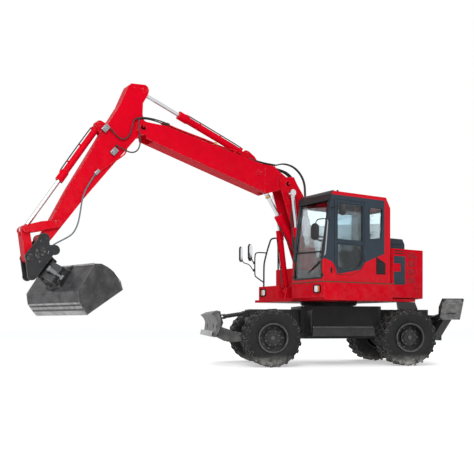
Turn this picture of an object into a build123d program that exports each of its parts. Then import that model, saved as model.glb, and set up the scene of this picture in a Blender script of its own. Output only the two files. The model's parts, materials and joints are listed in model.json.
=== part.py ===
"""Wheeled excavator with a two-piece boom, a tilting and rotating bucket, a dozer blade and stabilisers.

Millimetres and degrees. X runs forward along the boom, Y to the left and Z up. The floor is Z = 0.
The chassis stands turned to the right under the upper structure, as the machine is parked.
"""
import os
from math import atan2, cos, degrees, hypot, radians, sin

from build123d import *

os.makedirs("parts", exist_ok=True)

# The slew axis and how far the upper structure is turned
slew_x = -1670
slew_angle = 24

# Clearances
pin_clearance = 0.3
seat_gap = 0.3
cheek_gap = 0.5

# Wheels: twin tyres on two axles
front_axle_x = 1337
wheel_base = 2573
rear_axle_x = front_axle_x - wheel_base
tyre_radius = 527.5
tyre_width = 278
bead_width = 210
twin_gap = 50
wheels_outer_y = 1260
rim_radius = 254
rim_wall = 16
rim_inset = 17
flange_height = 18
flange_width = 16
disc_thickness = 18
disc_inset = 190
hub_radius = 148
hub_inset = 100
hub_cap_radius = 104
hub_cap_inset = 62
spindle_radius = 55
spindle_inset = 95
twin_width = 2 * tyre_width + twin_gap
wheel_inner_y = wheels_outer_y - twin_width
disc_y = wheels_outer_y - disc_inset
hub_back_y = disc_y - disc_thickness - 20

# Axles and steering knuckles
axle_beam_radius = 92
differential_radius = 188
differential_half = 135
differential_cone = 45
axle_end_radius = 150
brake_radius = 172
kingpin_y = wheel_inner_y + 66
kingpin_radius = 32
knuckle_radius = 56
knuckle_half_height = 92
fork_thickness = 36

# Chassis
frame_half_width = 300
frame_bottom = 600
frame_top = 1060
frame_front_x = 1640
frame_rear_x = -1860
arch_clearance = 28
platform_half_width = 560
platform_front_x = 670
platform_rear_x = -930
platform_bottom = 500
platform_top = 1120
ring_lower_radius = 490
ring_upper_radius = 560
ring_lower_height = 40
ring_gap = 0.5
step_outer_y = 1200
step_front_x = 605
step_rear_x = -560
step_bottom = 560
step_top = 720

# Dozer blade and its rams
blade_half_width = 1250
blade_pivot_x = 1560
blade_pivot_z = 520
blade_pivot_radius = 40
blade_arm_y = 230
blade_arm_width = 60
blade_ram_y = 130
blade_ram_pin_radius = 22
blade_ear_thickness = 22
ram_eye_width = 56
blade_ram_base = (1700, 985)
blade_ram_eye = (2205, 905)

# Stabilisers at the rear
stabiliser_front_x = -1870
stabiliser_rear_x = -2290
stabiliser_pivot_y = 380
stabiliser_pivot_z = 520
stabiliser_reach = 950
stabiliser_angle = 34
stabiliser_travel = 65
stabiliser_beam_half = 560
foot_length = 420
foot_thickness = 40
leg_width = 160

# Upper structure
deck_bottom = 1210
deck_thickness = 50
house_outer_y = 1200
house_front_x = 1060
seam_z = 1536
tail_bottom = 1275
house_top = 2215
tail_radius = 1850
tail_side_x = -1400
counterweight_front_x = -1225
bay_front_x = -600
panel_wall = 30
hood_top = 2450
hood_outer_y = 900

# Cab
cab_inner_y = 225
cab_outer_y = 1170
cab_front_x = 1045
cab_rear_x = -560
cab_roof_z = 3165
cab_wall = 45
glass_thickness = 8

# Boom, by the links' lengths and their angles to the horizontal as the machine is parked
boom_y = -130
boom_foot_x = 400
boom_foot_z = 1750
lower_boom_length = 1800
lower_boom_angle = 69.85
upper_boom_length = 3018
upper_boom_angle = 11.88
arm_length = 2554
arm_angle = -50.22
rocker_pin_back = 321
rocker_length = 492
rocker_angle = -13.05
tool_pin_spacing = 363
tool_pin_angle = -54.1
boom_half_width = 160
boom_plate = 26
boom_pin_radius = 42
boom_eye_radius = 120
arm_half_width = 118

upper = Plane(origin=(slew_x, 0, 0))
boom_plane = Plane(origin=(slew_x, boom_y, 0))


def turned(frame, direction, angle):
    """A frame turned by an angle about a direction through its own origin."""
    axis = Axis((0, 0, 0), direction)
    return Plane(frame.origin, x_dir=frame.x_dir.rotate(axis, angle), z_dir=frame.z_dir.rotate(axis, angle))


chassis = turned(upper, upper.z_dir, -slew_angle)


def side(frame, y=0):
    """A plane at y across a frame, with the frame's X to the right and its Z up."""
    return Plane(frame.from_local_coords((0, y, 0)), x_dir=frame.x_dir, z_dir=-frame.y_dir)


def level(frame, z=0):
    """A plane at height z of a frame, with the frame's X to the right and its Y up."""
    return Plane(frame.from_local_coords((0, 0, z)), x_dir=frame.x_dir, z_dir=frame.z_dir)


def across(frame, x=0):
    """A plane at x along a frame, with the frame's Y to the right and its Z up."""
    return Plane(frame.from_local_coords((x, 0, 0)), x_dir=frame.y_dir, z_dir=frame.x_dir)


def link_frame(base, start, angle):
    """A frame at a pin in another frame's side view, its X along the link at an angle to that frame."""
    origin = base.from_local_coords((start[0], 0, start[1]))
    return turned(Plane(origin, x_dir=base.x_dir, z_dir=base.z_dir), base.y_dir, -angle)


def lengthwise_axis(frame, y=0, z=0):
    """The axis along a frame's X at a given y and z."""
    return Axis(frame.from_local_coords((0, y, z)), frame.x_dir)


def cross_axis(frame, x=0, z=0):
    """The axis along a frame's Y at a given x and z."""
    return Axis(frame.from_local_coords((x, 0, z)), frame.y_dir)


def point_along(start, angle, length):
    """The point at a length and an angle from another in a side view."""
    return (start[0] + length * cos(radians(angle)), start[1] + length * sin(radians(angle)))


def angle_between(start, end):
    """The angle to the horizontal of the line from one point to another."""
    return degrees(atan2(end[1] - start[1], end[0] - start[0]))


def distance(start, end):
    """The length of the line from one point to another."""
    return hypot(end[0] - start[0], end[1] - start[1])


def place_in(frame, along, above):
    """A point of a link's own frame, in the boom plane's side view."""
    local = boom_plane.to_local_coords(frame.from_local_coords(Vector(along, 0, above)))
    return (local.X, local.Z)


def write(piece, name):
    """Label a finished piece and write its STEP file."""
    piece.label = name
    export_step(piece, f"parts/{name}.step")


# Pin places in the boom plane's side view
boom_foot = (boom_foot_x, boom_foot_z)
knuckle_pin = point_along(boom_foot, lower_boom_angle, lower_boom_length)
arm_pin = point_along(knuckle_pin, upper_boom_angle, upper_boom_length)
tip_pin = point_along(arm_pin, arm_angle, arm_length)
rocker_pin = point_along(arm_pin, arm_angle, arm_length - rocker_pin_back)
top_link_pin = point_along(rocker_pin, rocker_angle, rocker_length)
tool_pin = point_along(tip_pin, tool_pin_angle, tool_pin_spacing)
lower_boom_frame = link_frame(boom_plane, boom_foot, lower_boom_angle)
upper_boom_frame = link_frame(boom_plane, knuckle_pin, upper_boom_angle)
arm_frame = link_frame(boom_plane, arm_pin, arm_angle)
rocker_frame = link_frame(boom_plane, rocker_pin, rocker_angle)
link_length = distance(top_link_pin, tool_pin)
link_angle = angle_between(top_link_pin, tool_pin)
tool_link_frame = link_frame(boom_plane, top_link_pin, link_angle)
coupler_frame = link_frame(boom_plane, tip_pin, tool_pin_angle)


# Tyres
def make_tyres(name, axle_x, hand):
    """The twin tyres of one wheel; hand is 1 on the left and -1 on the right."""
    bead = bead_width / 2
    half = tyre_width / 2
    bead_radius = rim_radius + seat_gap
    flange_top = rim_radius + flange_height + 0.5
    section = [  # across from the tyre's middle, radius
        (-bead, bead_radius),
        (-bead, flange_top),
        (-half, 0.73 * tyre_radius),
        (-half + 3, 0.9 * tyre_radius),
        (-half + 32, tyre_radius),
        (half - 32, tyre_radius),
        (half - 3, 0.9 * tyre_radius),
        (half, 0.73 * tyre_radius),
        (bead, flange_top),
        (bead, bead_radius),
    ]
    with BuildPart() as tyres:
        for middle in (wheels_outer_y - half, wheel_inner_y + half):
            with BuildSketch(across(chassis, axle_x)):
                Polygon(*[(hand * (middle + offset), tyre_radius + radius) for offset, radius in section])
            revolve(axis=cross_axis(chassis, axle_x, tyre_radius))
    write(tyres.part, name)


# Rims, each a barrel under both tyres with its disc and hub
def make_rim(name, axle_x, hand):
    """The rim and hub of one twin wheel."""
    inner_end = wheel_inner_y + rim_inset
    outer_end = wheels_outer_y - rim_inset
    flange_y = outer_end - flange_width
    hub_y = wheels_outer_y - hub_inset
    cap_y = wheels_outer_y - hub_cap_inset
    bore = spindle_radius + pin_clearance
    bore_end = wheels_outer_y - spindle_inset + 5
    section = [  # across from the chassis middle, radius
        (inner_end, rim_radius - rim_wall),
        (inner_end, rim_radius),
        (flange_y, rim_radius),
        (flange_y, rim_radius + flange_height),
        (outer_end, rim_radius + flange_height),
        (outer_end, rim_radius - rim_wall),
        (disc_y, rim_radius - rim_wall),
        (disc_y, hub_radius),
        (hub_y, hub_radius),
        (hub_y, hub_cap_radius),
        (cap_y, hub_cap_radius),
        (cap_y, 0),
        (bore_end, 0),
        (bore_end, bore),
        (hub_back_y, bore),
        (hub_back_y, hub_radius),
        (disc_y - disc_thickness, hub_radius),
        (disc_y - disc_thickness, rim_radius - rim_wall),
    ]
    with BuildPart() as rim:
        with BuildSketch(across(chassis, axle_x)):
            Polygon(*[(hand * y, tyre_radius + radius) for y, radius in section])
        revolve(axis=cross_axis(chassis, axle_x, tyre_radius))
    write(rim.part, name)


for end, axle_x in (("front", front_axle_x), ("rear", rear_axle_x)):
    for hand_name, hand in (("left", 1), ("right", -1)):
        make_tyres(f"tyres_{end}_{hand_name}", axle_x, hand)
        make_rim(f"rim_{end}_{hand_name}", axle_x, hand)


# Axles
arch_top = tyre_radius + differential_radius + arch_clearance
saddle_half = 60
fork_root_y = kingpin_y - 110
with BuildPart() as front_axle:
    with BuildSketch(across(chassis, front_axle_x)):
        Polygon(
            (-fork_root_y, tyre_radius),
            (-fork_root_y, tyre_radius + axle_end_radius),
            (-fork_root_y + 40, tyre_radius + axle_end_radius),
            (-fork_root_y + 100, tyre_radius + axle_beam_radius),
            (-differential_half - differential_cone, tyre_radius + axle_beam_radius),
            (-differential_half, tyre_radius + differential_radius),
            (differential_half, tyre_radius + differential_radius),
            (differential_half + differential_cone, tyre_radius + axle_beam_radius),
            (fork_root_y - 100, tyre_radius + axle_beam_radius),
            (fork_root_y - 40, tyre_radius + axle_end_radius),
            (fork_root_y, tyre_radius + axle_end_radius),
            (fork_root_y, tyre_radius),
        )
    revolve(axis=cross_axis(chassis, front_axle_x, tyre_radius))
    with BuildSketch(level(chassis, tyre_radius + 0.5 * differential_radius)):
        with Locations((front_axle_x, 0)):
            Rectangle(2 * saddle_half, 2 * saddle_half)
    extrude(amount=arch_top - tyre_radius - 0.5 * differential_radius)
    for hand in (1, -1):
        fork_low = tyre_radius - knuckle_half_height - cheek_gap - fork_thickness
        for height in (fork_low, tyre_radius + knuckle_half_height + cheek_gap):
            with BuildSketch(level(chassis, height)):
                with Locations((front_axle_x, hand * kingpin_y)):
                    Circle(knuckle_radius)
                with Locations((front_axle_x, hand * (fork_root_y + kingpin_y) / 2)):
                    Rectangle(2 * knuckle_radius, kingpin_y - fork_root_y)
            extrude(amount=fork_thickness)
        with BuildSketch(level(chassis, fork_low)):
            with Locations((front_axle_x, hand * kingpin_y)):
                Circle(kingpin_radius)
        extrude(amount=2 * (knuckle_half_height + cheek_gap + fork_thickness))
write(front_axle.part, "front_axle")

with BuildPart() as rear_axle:
    with BuildSketch(across(chassis, rear_axle_x)):
        spindle_end = wheels_outer_y - spindle_inset
        brake_start = wheel_inner_y + 40
        brake_end = hub_back_y - 6
        half_section = [
            (differential_half, differential_radius),
            (differential_half + differential_cone, axle_beam_radius),
            (brake_start, axle_beam_radius),
            (brake_start, brake_radius),
            (brake_end, brake_radius),
            (brake_end, spindle_radius),
            (spindle_end, spindle_radius),
            (spindle_end, 0),
        ]
        right_side = [(y, tyre_radius + radius) for y, radius in half_section]
        left_side = [(-y, z) for y, z in reversed(right_side)]
        Polygon(*right_side, *left_side)
    revolve(axis=cross_axis(chassis, rear_axle_x, tyre_radius))
    with BuildSketch(level(chassis, tyre_radius + 0.5 * differential_radius)):
        with Locations((rear_axle_x, 0)):
            Rectangle(2 * saddle_half, 4 * saddle_half)
    extrude(amount=arch_top - tyre_radius - 0.5 * differential_radius)
write(rear_axle.part, "rear_axle")


# Steering knuckles
def make_knuckle(name, hand):
    """A knuckle that turns on its kingpin and carries the brake drum and spindle."""
    drum_start = kingpin_y + knuckle_radius + 8
    drum_end = hub_back_y - 6
    spindle_end = wheels_outer_y - spindle_inset
    with BuildPart() as knuckle:
        with BuildSketch(level(chassis, tyre_radius - knuckle_half_height)):
            with Locations((front_axle_x, hand * kingpin_y)):
                Circle(knuckle_radius)
            with Locations((front_axle_x, hand * (kingpin_y + drum_start) / 2)):
                Rectangle(2 * knuckle_radius, drum_start - kingpin_y)
        extrude(amount=2 * knuckle_half_height)
        with BuildSketch(across(chassis, front_axle_x)):
            Polygon(
                (hand * drum_start, tyre_radius),
                (hand * drum_start, tyre_radius + brake_radius),
                (hand * drum_end, tyre_radius + brake_radius),
                (hand * drum_end, tyre_radius + spindle_radius),
                (hand * spindle_end, tyre_radius + spindle_radius),
                (hand * spindle_end, tyre_radius),
            )
        revolve(axis=cross_axis(chassis, front_axle_x, tyre_radius))
        with BuildSketch(level(chassis, tyre_radius - knuckle_half_height)):
            with Locations((front_axle_x, hand * kingpin_y)):
                Circle(kingpin_radius + pin_clearance)
        extrude(amount=2 * knuckle_half_height, mode=Mode.SUBTRACT)
    write(knuckle.part, name)


make_knuckle("knuckle_left", 1)
make_knuckle("knuckle_right", -1)


# Chassis frame with its platform, slew pedestal and pivot lugs
blade_lug_thickness = 36
with BuildPart() as chassis_frame:
    with BuildSketch(side(chassis)):
        Polygon(
            (frame_rear_x, frame_bottom + 40),
            (rear_axle_x - 260, frame_bottom),
            (rear_axle_x - 150, arch_top),
            (rear_axle_x + 150, arch_top),
            (rear_axle_x + 260, frame_bottom),
            (front_axle_x - 260, frame_bottom),
            (front_axle_x - 150, arch_top),
            (front_axle_x + 150, arch_top),
            (frame_front_x - 60, arch_top),
            (frame_front_x, arch_top + 60),
            (frame_front_x, frame_top),
            (frame_rear_x, frame_top),
        )
    extrude(amount=frame_half_width, both=True)
    with BuildSketch(level(chassis, platform_bottom)):
        with Locations(((platform_front_x + platform_rear_x) / 2, 0)):
            Rectangle(platform_front_x - platform_rear_x, 2 * platform_half_width)
        chamfer(vertices(), 90)
    extrude(amount=platform_top - platform_bottom)
    with BuildSketch(level(chassis, platform_top)):
        Circle(ring_lower_radius)
    extrude(amount=ring_lower_height)
    for y in (-blade_arm_y, blade_arm_y):
        for cheek in (-1, 1):
            inner = blade_arm_width / 2 + cheek_gap
            with BuildSketch(side(chassis, y + cheek * (inner + blade_lug_thickness / 2))):
                Polygon(
                    (blade_pivot_x - 90, arch_top),
                    (blade_pivot_x - 70, blade_pivot_z),
                    (blade_pivot_x + 30, blade_pivot_z - 60),
                    (blade_pivot_x + 60, blade_pivot_z),
                    (frame_front_x - 60, arch_top),
                )
            extrude(amount=blade_lug_thickness / 2, both=True)
        with BuildSketch(side(chassis, y)):
            with Locations((blade_pivot_x, blade_pivot_z)):
                Circle(blade_pivot_radius)
        extrude(amount=blade_arm_width / 2 + cheek_gap + blade_lug_thickness, both=True)
    for y in (-blade_ram_y, blade_ram_y):
        for cheek in (-1, 1):
            inner = ram_eye_width / 2 + cheek_gap
            with BuildSketch(side(chassis, y + cheek * (inner + blade_ear_thickness / 2))):
                with Locations(blade_ram_base):
                    Circle(45)
                Polygon(
                    (frame_front_x - 20, blade_ram_base[1] - 90),
                    (blade_ram_base[0], blade_ram_base[1] - 45),
                    (blade_ram_base[0], blade_ram_base[1] + 45),
                    (frame_front_x - 20, blade_ram_base[1] + 60),
                )
            extrude(amount=blade_ear_thickness / 2, both=True)
        with BuildSketch(side(chassis, y)):
            with Locations(blade_ram_base):
                Circle(blade_ram_pin_radius)
        extrude(amount=ram_eye_width / 2 + cheek_gap, both=True)
write(chassis_frame.part, "chassis_frame")

with BuildPart() as side_steps:
    for hand in (1, -1):
        with BuildSketch(side(chassis, hand * (platform_half_width + step_outer_y) / 2)):
            Polygon(
                (step_rear_x, step_bottom),
                (step_front_x, step_bottom),
                (step_front_x, step_top),
                (step_rear_x, step_top),
            )
        extrude(amount=(step_outer_y - platform_half_width) / 2, both=True)
write(side_steps.part, "side_steps")

# Dozer blade: a curved mouldboard on two arms, with ears for its rams
blade_top_front = (2455, 966)
blade_hollow = (2350, 775)
blade_edge_front = (2448, 575)
blade_edge_back = (2385, 545)
blade_back = (2280, 790)
blade_top_back = (2337, 1022)
with BuildPart() as blade:
    with BuildSketch(side(chassis)):
        with BuildLine():
            ThreePointArc(blade_top_front, blade_hollow, blade_edge_front)
            Line(blade_edge_front, blade_edge_back)
            ThreePointArc(blade_edge_back, blade_back, blade_top_back)
            Line(blade_top_back, blade_top_front)
        make_face()
    extrude(amount=blade_half_width, both=True)
    for y in (-blade_arm_y, blade_arm_y):
        with BuildSketch(side(chassis, y)):
            Polygon(
                (blade_pivot_x, blade_pivot_z + 65),
                (blade_pivot_x - 60, blade_pivot_z),
                (blade_pivot_x, blade_pivot_z - 65),
                (blade_edge_back[0] - 330, blade_pivot_z - 80),
                (blade_edge_back[0] - 40, blade_edge_back[1] + 40),
                (blade_back[0] + 20, blade_back[1] - 20),
                (blade_pivot_x + 330, blade_pivot_z + 110),
            )
        extrude(amount=blade_arm_width / 2, both=True)
        with BuildSketch(side(chassis, y)):
            with Locations((blade_pivot_x, blade_pivot_z)):
                Circle(blade_pivot_radius + pin_clearance)
        extrude(amount=blade_arm_width, both=True, mode=Mode.SUBTRACT)
    for y in (-blade_ram_y, blade_ram_y):
        for cheek in (-1, 1):
            inner = ram_eye_width / 2 + cheek_gap
            with BuildSketch(side(chassis, y + cheek * (inner + blade_ear_thickness / 2))):
                with Locations(blade_ram_eye):
                    Circle(48)
                Polygon(
                    (blade_ram_eye[0] - 30, blade_ram_eye[1] - 40),
                    (blade_back[0] + 20, blade_ram_eye[1] - 160),
                    (blade_back[0] + 30, blade_ram_eye[1] + 70),
                    (blade_ram_eye[0], blade_ram_eye[1] + 48),
                )
            extrude(amount=blade_ear_thickness / 2, both=True)
write(blade.part, "blade")


# Hydraulic rams, each a barrel on its base pin and a rod that slides in it
def ram_barrel(frame, offsets, eye_radius, eye_width, pin_radius, barrel_radius, rod_radius, barrel_length):
    """Barrels along a frame's X from their base pin, one at each sideways offset."""
    head_radius = barrel_radius + 9
    head_length = 1.3 * barrel_radius
    neck_radius = min(barrel_radius, eye_width / 2 - 2)
    bore = rod_radius + pin_clearance
    bore_start = eye_radius + 30
    with BuildPart() as barrel:
        for y in offsets:
            with BuildSketch(side(frame, y)):
                Circle(eye_radius)
            extrude(amount=eye_width / 2, both=True)
            with BuildSketch(side(frame, y)):
                Polygon(
                    (pin_radius + 8, 0),
                    (pin_radius + 8, neck_radius),
                    (eye_radius + 26, neck_radius),
                    (eye_radius + 40, barrel_radius),
                    (barrel_length - head_length, barrel_radius),
                    (barrel_length - head_length, head_radius),
                    (barrel_length, head_radius),
                    (barrel_length, bore),
                    (bore_start, bore),
                    (bore_start, 0),
                )
            revolve(axis=lengthwise_axis(frame, y))
            with BuildSketch(side(frame, y)):
                Circle(pin_radius + pin_clearance)
            extrude(amount=eye_width, both=True, mode=Mode.SUBTRACT)
    return barrel.part


def ram_rod(frame, offsets, eye_radius, eye_width, rod_radius, inner_end, length):
    """Rods along a frame's X, from their end inside the barrel to the eye that holds their pin."""
    collar_radius = min(rod_radius + 12, eye_width / 2 - 2)
    with BuildPart() as rod:
        for y in offsets:
            with BuildSketch(side(frame, y)):
                Polygon(
                    (inner_end, 0),
                    (inner_end, rod_radius),
                    (length - eye_radius - 40, rod_radius),
                    (length - eye_radius - 30, collar_radius),
                    (length, collar_radius),
                    (length, 0),
                )
            revolve(axis=lengthwise_axis(frame, y))
            with BuildSketch(side(frame, y)):
                with Locations((length, 0)):
                    Circle(eye_radius)
            extrude(amount=eye_width / 2, both=True)
    return rod.part


blade_ram_angle = angle_between(blade_ram_base, blade_ram_eye)
blade_ram_length = distance(blade_ram_base, blade_ram_eye)
blade_ram_frame = link_frame(chassis, blade_ram_base, blade_ram_angle)
blade_barrel_length = 430
blade_ram_offsets = (-blade_ram_y, blade_ram_y)
blade_barrels = ram_barrel(
    blade_ram_frame, blade_ram_offsets, 42, ram_eye_width, blade_ram_pin_radius, 38, 22, blade_barrel_length
)
write(blade_barrels, "blade_ram_barrels")
blade_rods = ram_rod(blade_ram_frame, blade_ram_offsets, 36, ram_eye_width, 22, 76, blade_ram_length)
write(blade_rods, "blade_ram_rods")


# Stabilisers: a beam behind the frame, and a leg with its foot and ram on each side
stabiliser_x = (stabiliser_front_x + stabiliser_rear_x) / 2
beam_plate = 30
beam_inner = leg_width / 2 + cheek_gap
stabiliser_ram_base = (250, 895)
stabiliser_ram_along = 640
stabiliser_ram_above = 108
stabiliser_barrel_length = 480
with BuildPart() as stabiliser_beam:
    for face in (-1, 1):
        with BuildSketch(across(chassis, stabiliser_x + face * (beam_inner + beam_plate / 2))):
            Polygon(
                (-stabiliser_pivot_y - 80, stabiliser_pivot_z - 70),
                (stabiliser_pivot_y + 80, stabiliser_pivot_z - 70),
                (stabiliser_pivot_y + 80, stabiliser_pivot_z + 60),
                (stabiliser_ram_base[0] + 70, stabiliser_ram_base[1] + 60),
                (-stabiliser_ram_base[0] - 70, stabiliser_ram_base[1] + 60),
                (-stabiliser_pivot_y - 80, stabiliser_pivot_z + 60),
            )
        extrude(amount=beam_plate / 2, both=True)
    with BuildSketch(across(chassis, stabiliser_x)):
        Polygon(
            (-stabiliser_pivot_y + 130, stabiliser_pivot_z - 70),
            (stabiliser_pivot_y - 130, stabiliser_pivot_z - 70),
            (stabiliser_ram_base[0] - 90, stabiliser_ram_base[1] - 90),
            (-stabiliser_ram_base[0] + 90, stabiliser_ram_base[1] - 90),
        )
        for hand in (1, -1):
            with Locations((hand * stabiliser_pivot_y, stabiliser_pivot_z)):
                Circle(35)
            with Locations((hand * stabiliser_ram_base[0], stabiliser_ram_base[1])):
                Circle(25)
    extrude(amount=beam_inner, both=True)
    with BuildSketch(across(chassis, frame_rear_x)):
        with Locations((0, (arch_top + frame_top) / 2)):
            Rectangle(2 * frame_half_width, frame_top - arch_top)
    extrude(amount=stabiliser_x + beam_inner + beam_plate - frame_rear_x)
    with BuildSketch(side(chassis)):
        Polygon((-2170, 590), (-2250, 590), (-2285, 625), (-2285, 655), (-2250, 690), (-2170, 690))
        with Locations((-2232, 640)):
            Circle(24, mode=Mode.SUBTRACT)
    extrude(amount=22, both=True)
write(stabiliser_beam.part, "stabiliser_beam")


def leg_point(hand, along, above, turn=0):
    """A point of a leg's own frame, as the chassis's Y and Z."""
    heading = radians(stabiliser_angle + turn)
    y = stabiliser_pivot_y + along * cos(heading) - above * sin(heading)
    return (hand * y, stabiliser_pivot_z + along * sin(heading) + above * cos(heading))


def make_leg(name, hand):
    """A stabiliser leg with its foot, whose sole is flat on the floor when the leg is down."""
    sole_heading = stabiliser_travel - stabiliser_angle
    run = (cos(radians(sole_heading)), sin(radians(sole_heading)))
    inward = (-run[1], run[0])
    half = foot_length / 2

    def sole_point(across_sole, depth):
        along = stabiliser_reach + across_sole * run[0] + depth * inward[0]
        return leg_point(hand, along, across_sole * run[1] + depth * inward[1])

    with BuildPart() as leg:
        with BuildSketch(across(chassis, stabiliser_x)):
            with Locations((hand * stabiliser_pivot_y, stabiliser_pivot_z)):
                Circle(68)
            Polygon(
                leg_point(hand, 0, -66),
                leg_point(hand, stabiliser_reach - 40, -60),
                leg_point(hand, stabiliser_reach - 40, 60),
                leg_point(hand, stabiliser_ram_along + 120, 56),
                leg_point(hand, stabiliser_ram_along + 80, 34),
                leg_point(hand, stabiliser_ram_along - 80, 34),
                leg_point(hand, stabiliser_ram_along - 120, 59),
                leg_point(hand, 0, 66),
            )
        extrude(amount=leg_width / 2, both=True)
        with BuildSketch(across(chassis, stabiliser_x)):
            Polygon(
                sole_point(-half, 0),
                sole_point(half, 0),
                sole_point(half, foot_thickness),
                sole_point(0, 3 * foot_thickness),
                sole_point(-half, foot_thickness),
            )
        extrude(amount=(stabiliser_front_x - stabiliser_rear_x) / 2, both=True)
        for cheek in (-1, 1):
            inner = ram_eye_width / 2 + cheek_gap
            with BuildSketch(across(chassis, stabiliser_x + cheek * (inner + 10))):
                Polygon(
                    leg_point(hand, stabiliser_ram_along - 100, 20),
                    leg_point(hand, stabiliser_ram_along + 100, 20),
                    leg_point(hand, stabiliser_ram_along + 40, stabiliser_ram_above + 40),
                    leg_point(hand, stabiliser_ram_along - 40, stabiliser_ram_above + 40),
                )
            extrude(amount=10, both=True)
        with BuildSketch(across(chassis, stabiliser_x)):
            with Locations((hand * stabiliser_pivot_y, stabiliser_pivot_z)):
                Circle(35 + pin_clearance)
        extrude(amount=leg_width, both=True, mode=Mode.SUBTRACT)
    write(leg.part, f"stabiliser_leg_{name}")

    eye = leg_point(1, stabiliser_ram_along, stabiliser_ram_above)
    heading = angle_between(stabiliser_ram_base, eye)
    if hand < 0:
        heading = 180 - heading
    start = (hand * stabiliser_ram_base[0], stabiliser_ram_base[1])
    lengthwise = Plane(across(chassis, stabiliser_x).origin, x_dir=chassis.y_dir, z_dir=chassis.z_dir)
    ram_frame = link_frame(lengthwise, start, heading)
    barrel = ram_barrel(ram_frame, (0,), 46, ram_eye_width, 25, 44, 25, stabiliser_barrel_length)
    write(barrel, f"stabiliser_barrel_{name}")
    rod = ram_rod(ram_frame, (0,), 38, ram_eye_width, 25, 80, distance(stabiliser_ram_base, eye))
    write(rod, f"stabiliser_rod_{name}")


make_leg("left", 1)
make_leg("right", -1)


# Upper structure: the slew ring, deck and boom brackets
cheek_thickness = 36
cheek_inner = boom_half_width + 5
cheek_outer = cheek_inner + cheek_thickness
lift_y = 280
lift_eye_width = 80
lift_pin_radius = 35
lift_base = (740, 1420)
lift_top_along = 1624
lift_top_above = -43
lift_bracket_inner = lift_y - lift_eye_width / 2 - cheek_gap
lift_bracket_outer = lift_y + lift_eye_width / 2 + cheek_gap
lift_bracket_thickness = 26
deck_top = deck_bottom + deck_thickness
with BuildPart() as upper_frame:
    with BuildSketch(level(upper, platform_top + ring_lower_height + ring_gap)):
        Circle(ring_upper_radius)
    extrude(amount=deck_bottom - platform_top - ring_lower_height - ring_gap)
    with BuildSketch(level(upper, deck_bottom)):
        Polygon(
            (counterweight_front_x, panel_wall - house_outer_y),
            (house_front_x - 70, panel_wall - house_outer_y),
            (house_front_x - 70, cab_inner_y),
            (bay_front_x, cab_inner_y),
            (bay_front_x, house_outer_y - panel_wall),
            (counterweight_front_x, house_outer_y - panel_wall),
        )
    extrude(amount=deck_thickness)
    for hand in (1, -1):
        with BuildSketch(side(boom_plane, hand * (cheek_inner + cheek_thickness / 2))):
            with Locations(boom_foot):
                Circle(115)
            Polygon(
                (boom_foot_x - 330, deck_top),
                (boom_foot_x - 110, boom_foot_z),
                (boom_foot_x + 110, boom_foot_z),
                (lift_base[0] - 40, lift_base[1] + 110),
                (lift_base[0] + 70, lift_base[1] + 40),
                (lift_base[0] + 110, deck_top),
            )
        extrude(amount=cheek_thickness / 2, both=True)
        for inner, outer in (
            (cheek_outer, lift_bracket_inner),
            (lift_bracket_outer, lift_bracket_outer + lift_bracket_thickness),
        ):
            with BuildSketch(side(boom_plane, hand * (inner + outer) / 2)):
                Polygon(
                    (lift_base[0] - 100, deck_top),
                    (lift_base[0] - 60, lift_base[1] + 40),
                    (lift_base[0], lift_base[1] + 62),
                    (lift_base[0] + 60, lift_base[1] + 40),
                    (lift_base[0] + 100, deck_top),
                )
            extrude(amount=(outer - inner) / 2, both=True)
        with BuildSketch(side(boom_plane, hand * lift_y)):
            with Locations(lift_base):
                Circle(lift_pin_radius)
        extrude(amount=lift_eye_width / 2 + cheek_gap, both=True)
    with BuildSketch(side(boom_plane)):
        with Locations(boom_foot):
            Circle(boom_pin_radius)
    extrude(amount=cheek_outer + 12, both=True)
write(upper_frame.part, "upper_frame")


with BuildPart() as cab_base:
    with BuildSketch(side(upper, (cab_inner_y + house_outer_y) / 2)):
        Polygon(
            (bay_front_x, deck_bottom),
            (house_front_x - 40, deck_bottom),
            (house_front_x, deck_bottom + 50),
            (house_front_x, seam_z - 0.4),
            (bay_front_x, seam_z - 0.4),
        )
    extrude(amount=(house_outer_y - cab_inner_y) / 2, both=True)
write(cab_base.part, "cab_base")

box_inner_y = boom_y - lift_bracket_outer - lift_bracket_thickness - 12
side_box_front_x = 900
side_box_step_x = 475
tank_rear_x = bay_front_x + 6
with BuildPart() as side_boxes:
    with BuildSketch(level(upper, deck_top)):
        with Locations(((side_box_front_x + tank_rear_x) / 2, (box_inner_y - house_outer_y) / 2)):
            Rectangle(side_box_front_x - tank_rear_x, box_inner_y + house_outer_y)
        chamfer(vertices(), 40)
    extrude(amount=seam_z - deck_top)
    with BuildSketch(level(upper, seam_z)):
        with Locations(((side_box_step_x + tank_rear_x) / 2, (box_inner_y - house_outer_y) / 2)):
            Rectangle(side_box_step_x - tank_rear_x, box_inner_y + house_outer_y)
        chamfer(vertices(), 40)
    extrude(amount=1900 - seam_z)
write(side_boxes.part, "side_boxes")

with BuildPart() as engine_block:
    with BuildSketch(level(upper, deck_top)):
        with Locations((-910, 0)):
            Rectangle(500, 860)
    extrude(amount=620)
write(engine_block.part, "engine_block")

with BuildPart() as counterweight:
    with BuildSketch(level(upper, tail_bottom)):
        with BuildLine():
            Line((counterweight_front_x, -house_outer_y), (counterweight_front_x, house_outer_y))
            Line((counterweight_front_x, house_outer_y), (tail_side_x, house_outer_y))
            ThreePointArc((tail_side_x, house_outer_y), (-tail_radius, 0), (tail_side_x, -house_outer_y))
            Line((tail_side_x, -house_outer_y), (counterweight_front_x, -house_outer_y))
        make_face()
    extrude(amount=house_top - tail_bottom)
    for y in (-450, 450):
        with BuildSketch(side(upper, y)):
            Polygon((-1640, house_top - 5), (-1480, house_top - 5), (-1510, 2315), (-1610, 2315))
            with Locations((-1560, 2270)):
                Circle(26, mode=Mode.SUBTRACT)
        extrude(amount=18, both=True)
write(counterweight.part, "counterweight")

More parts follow.
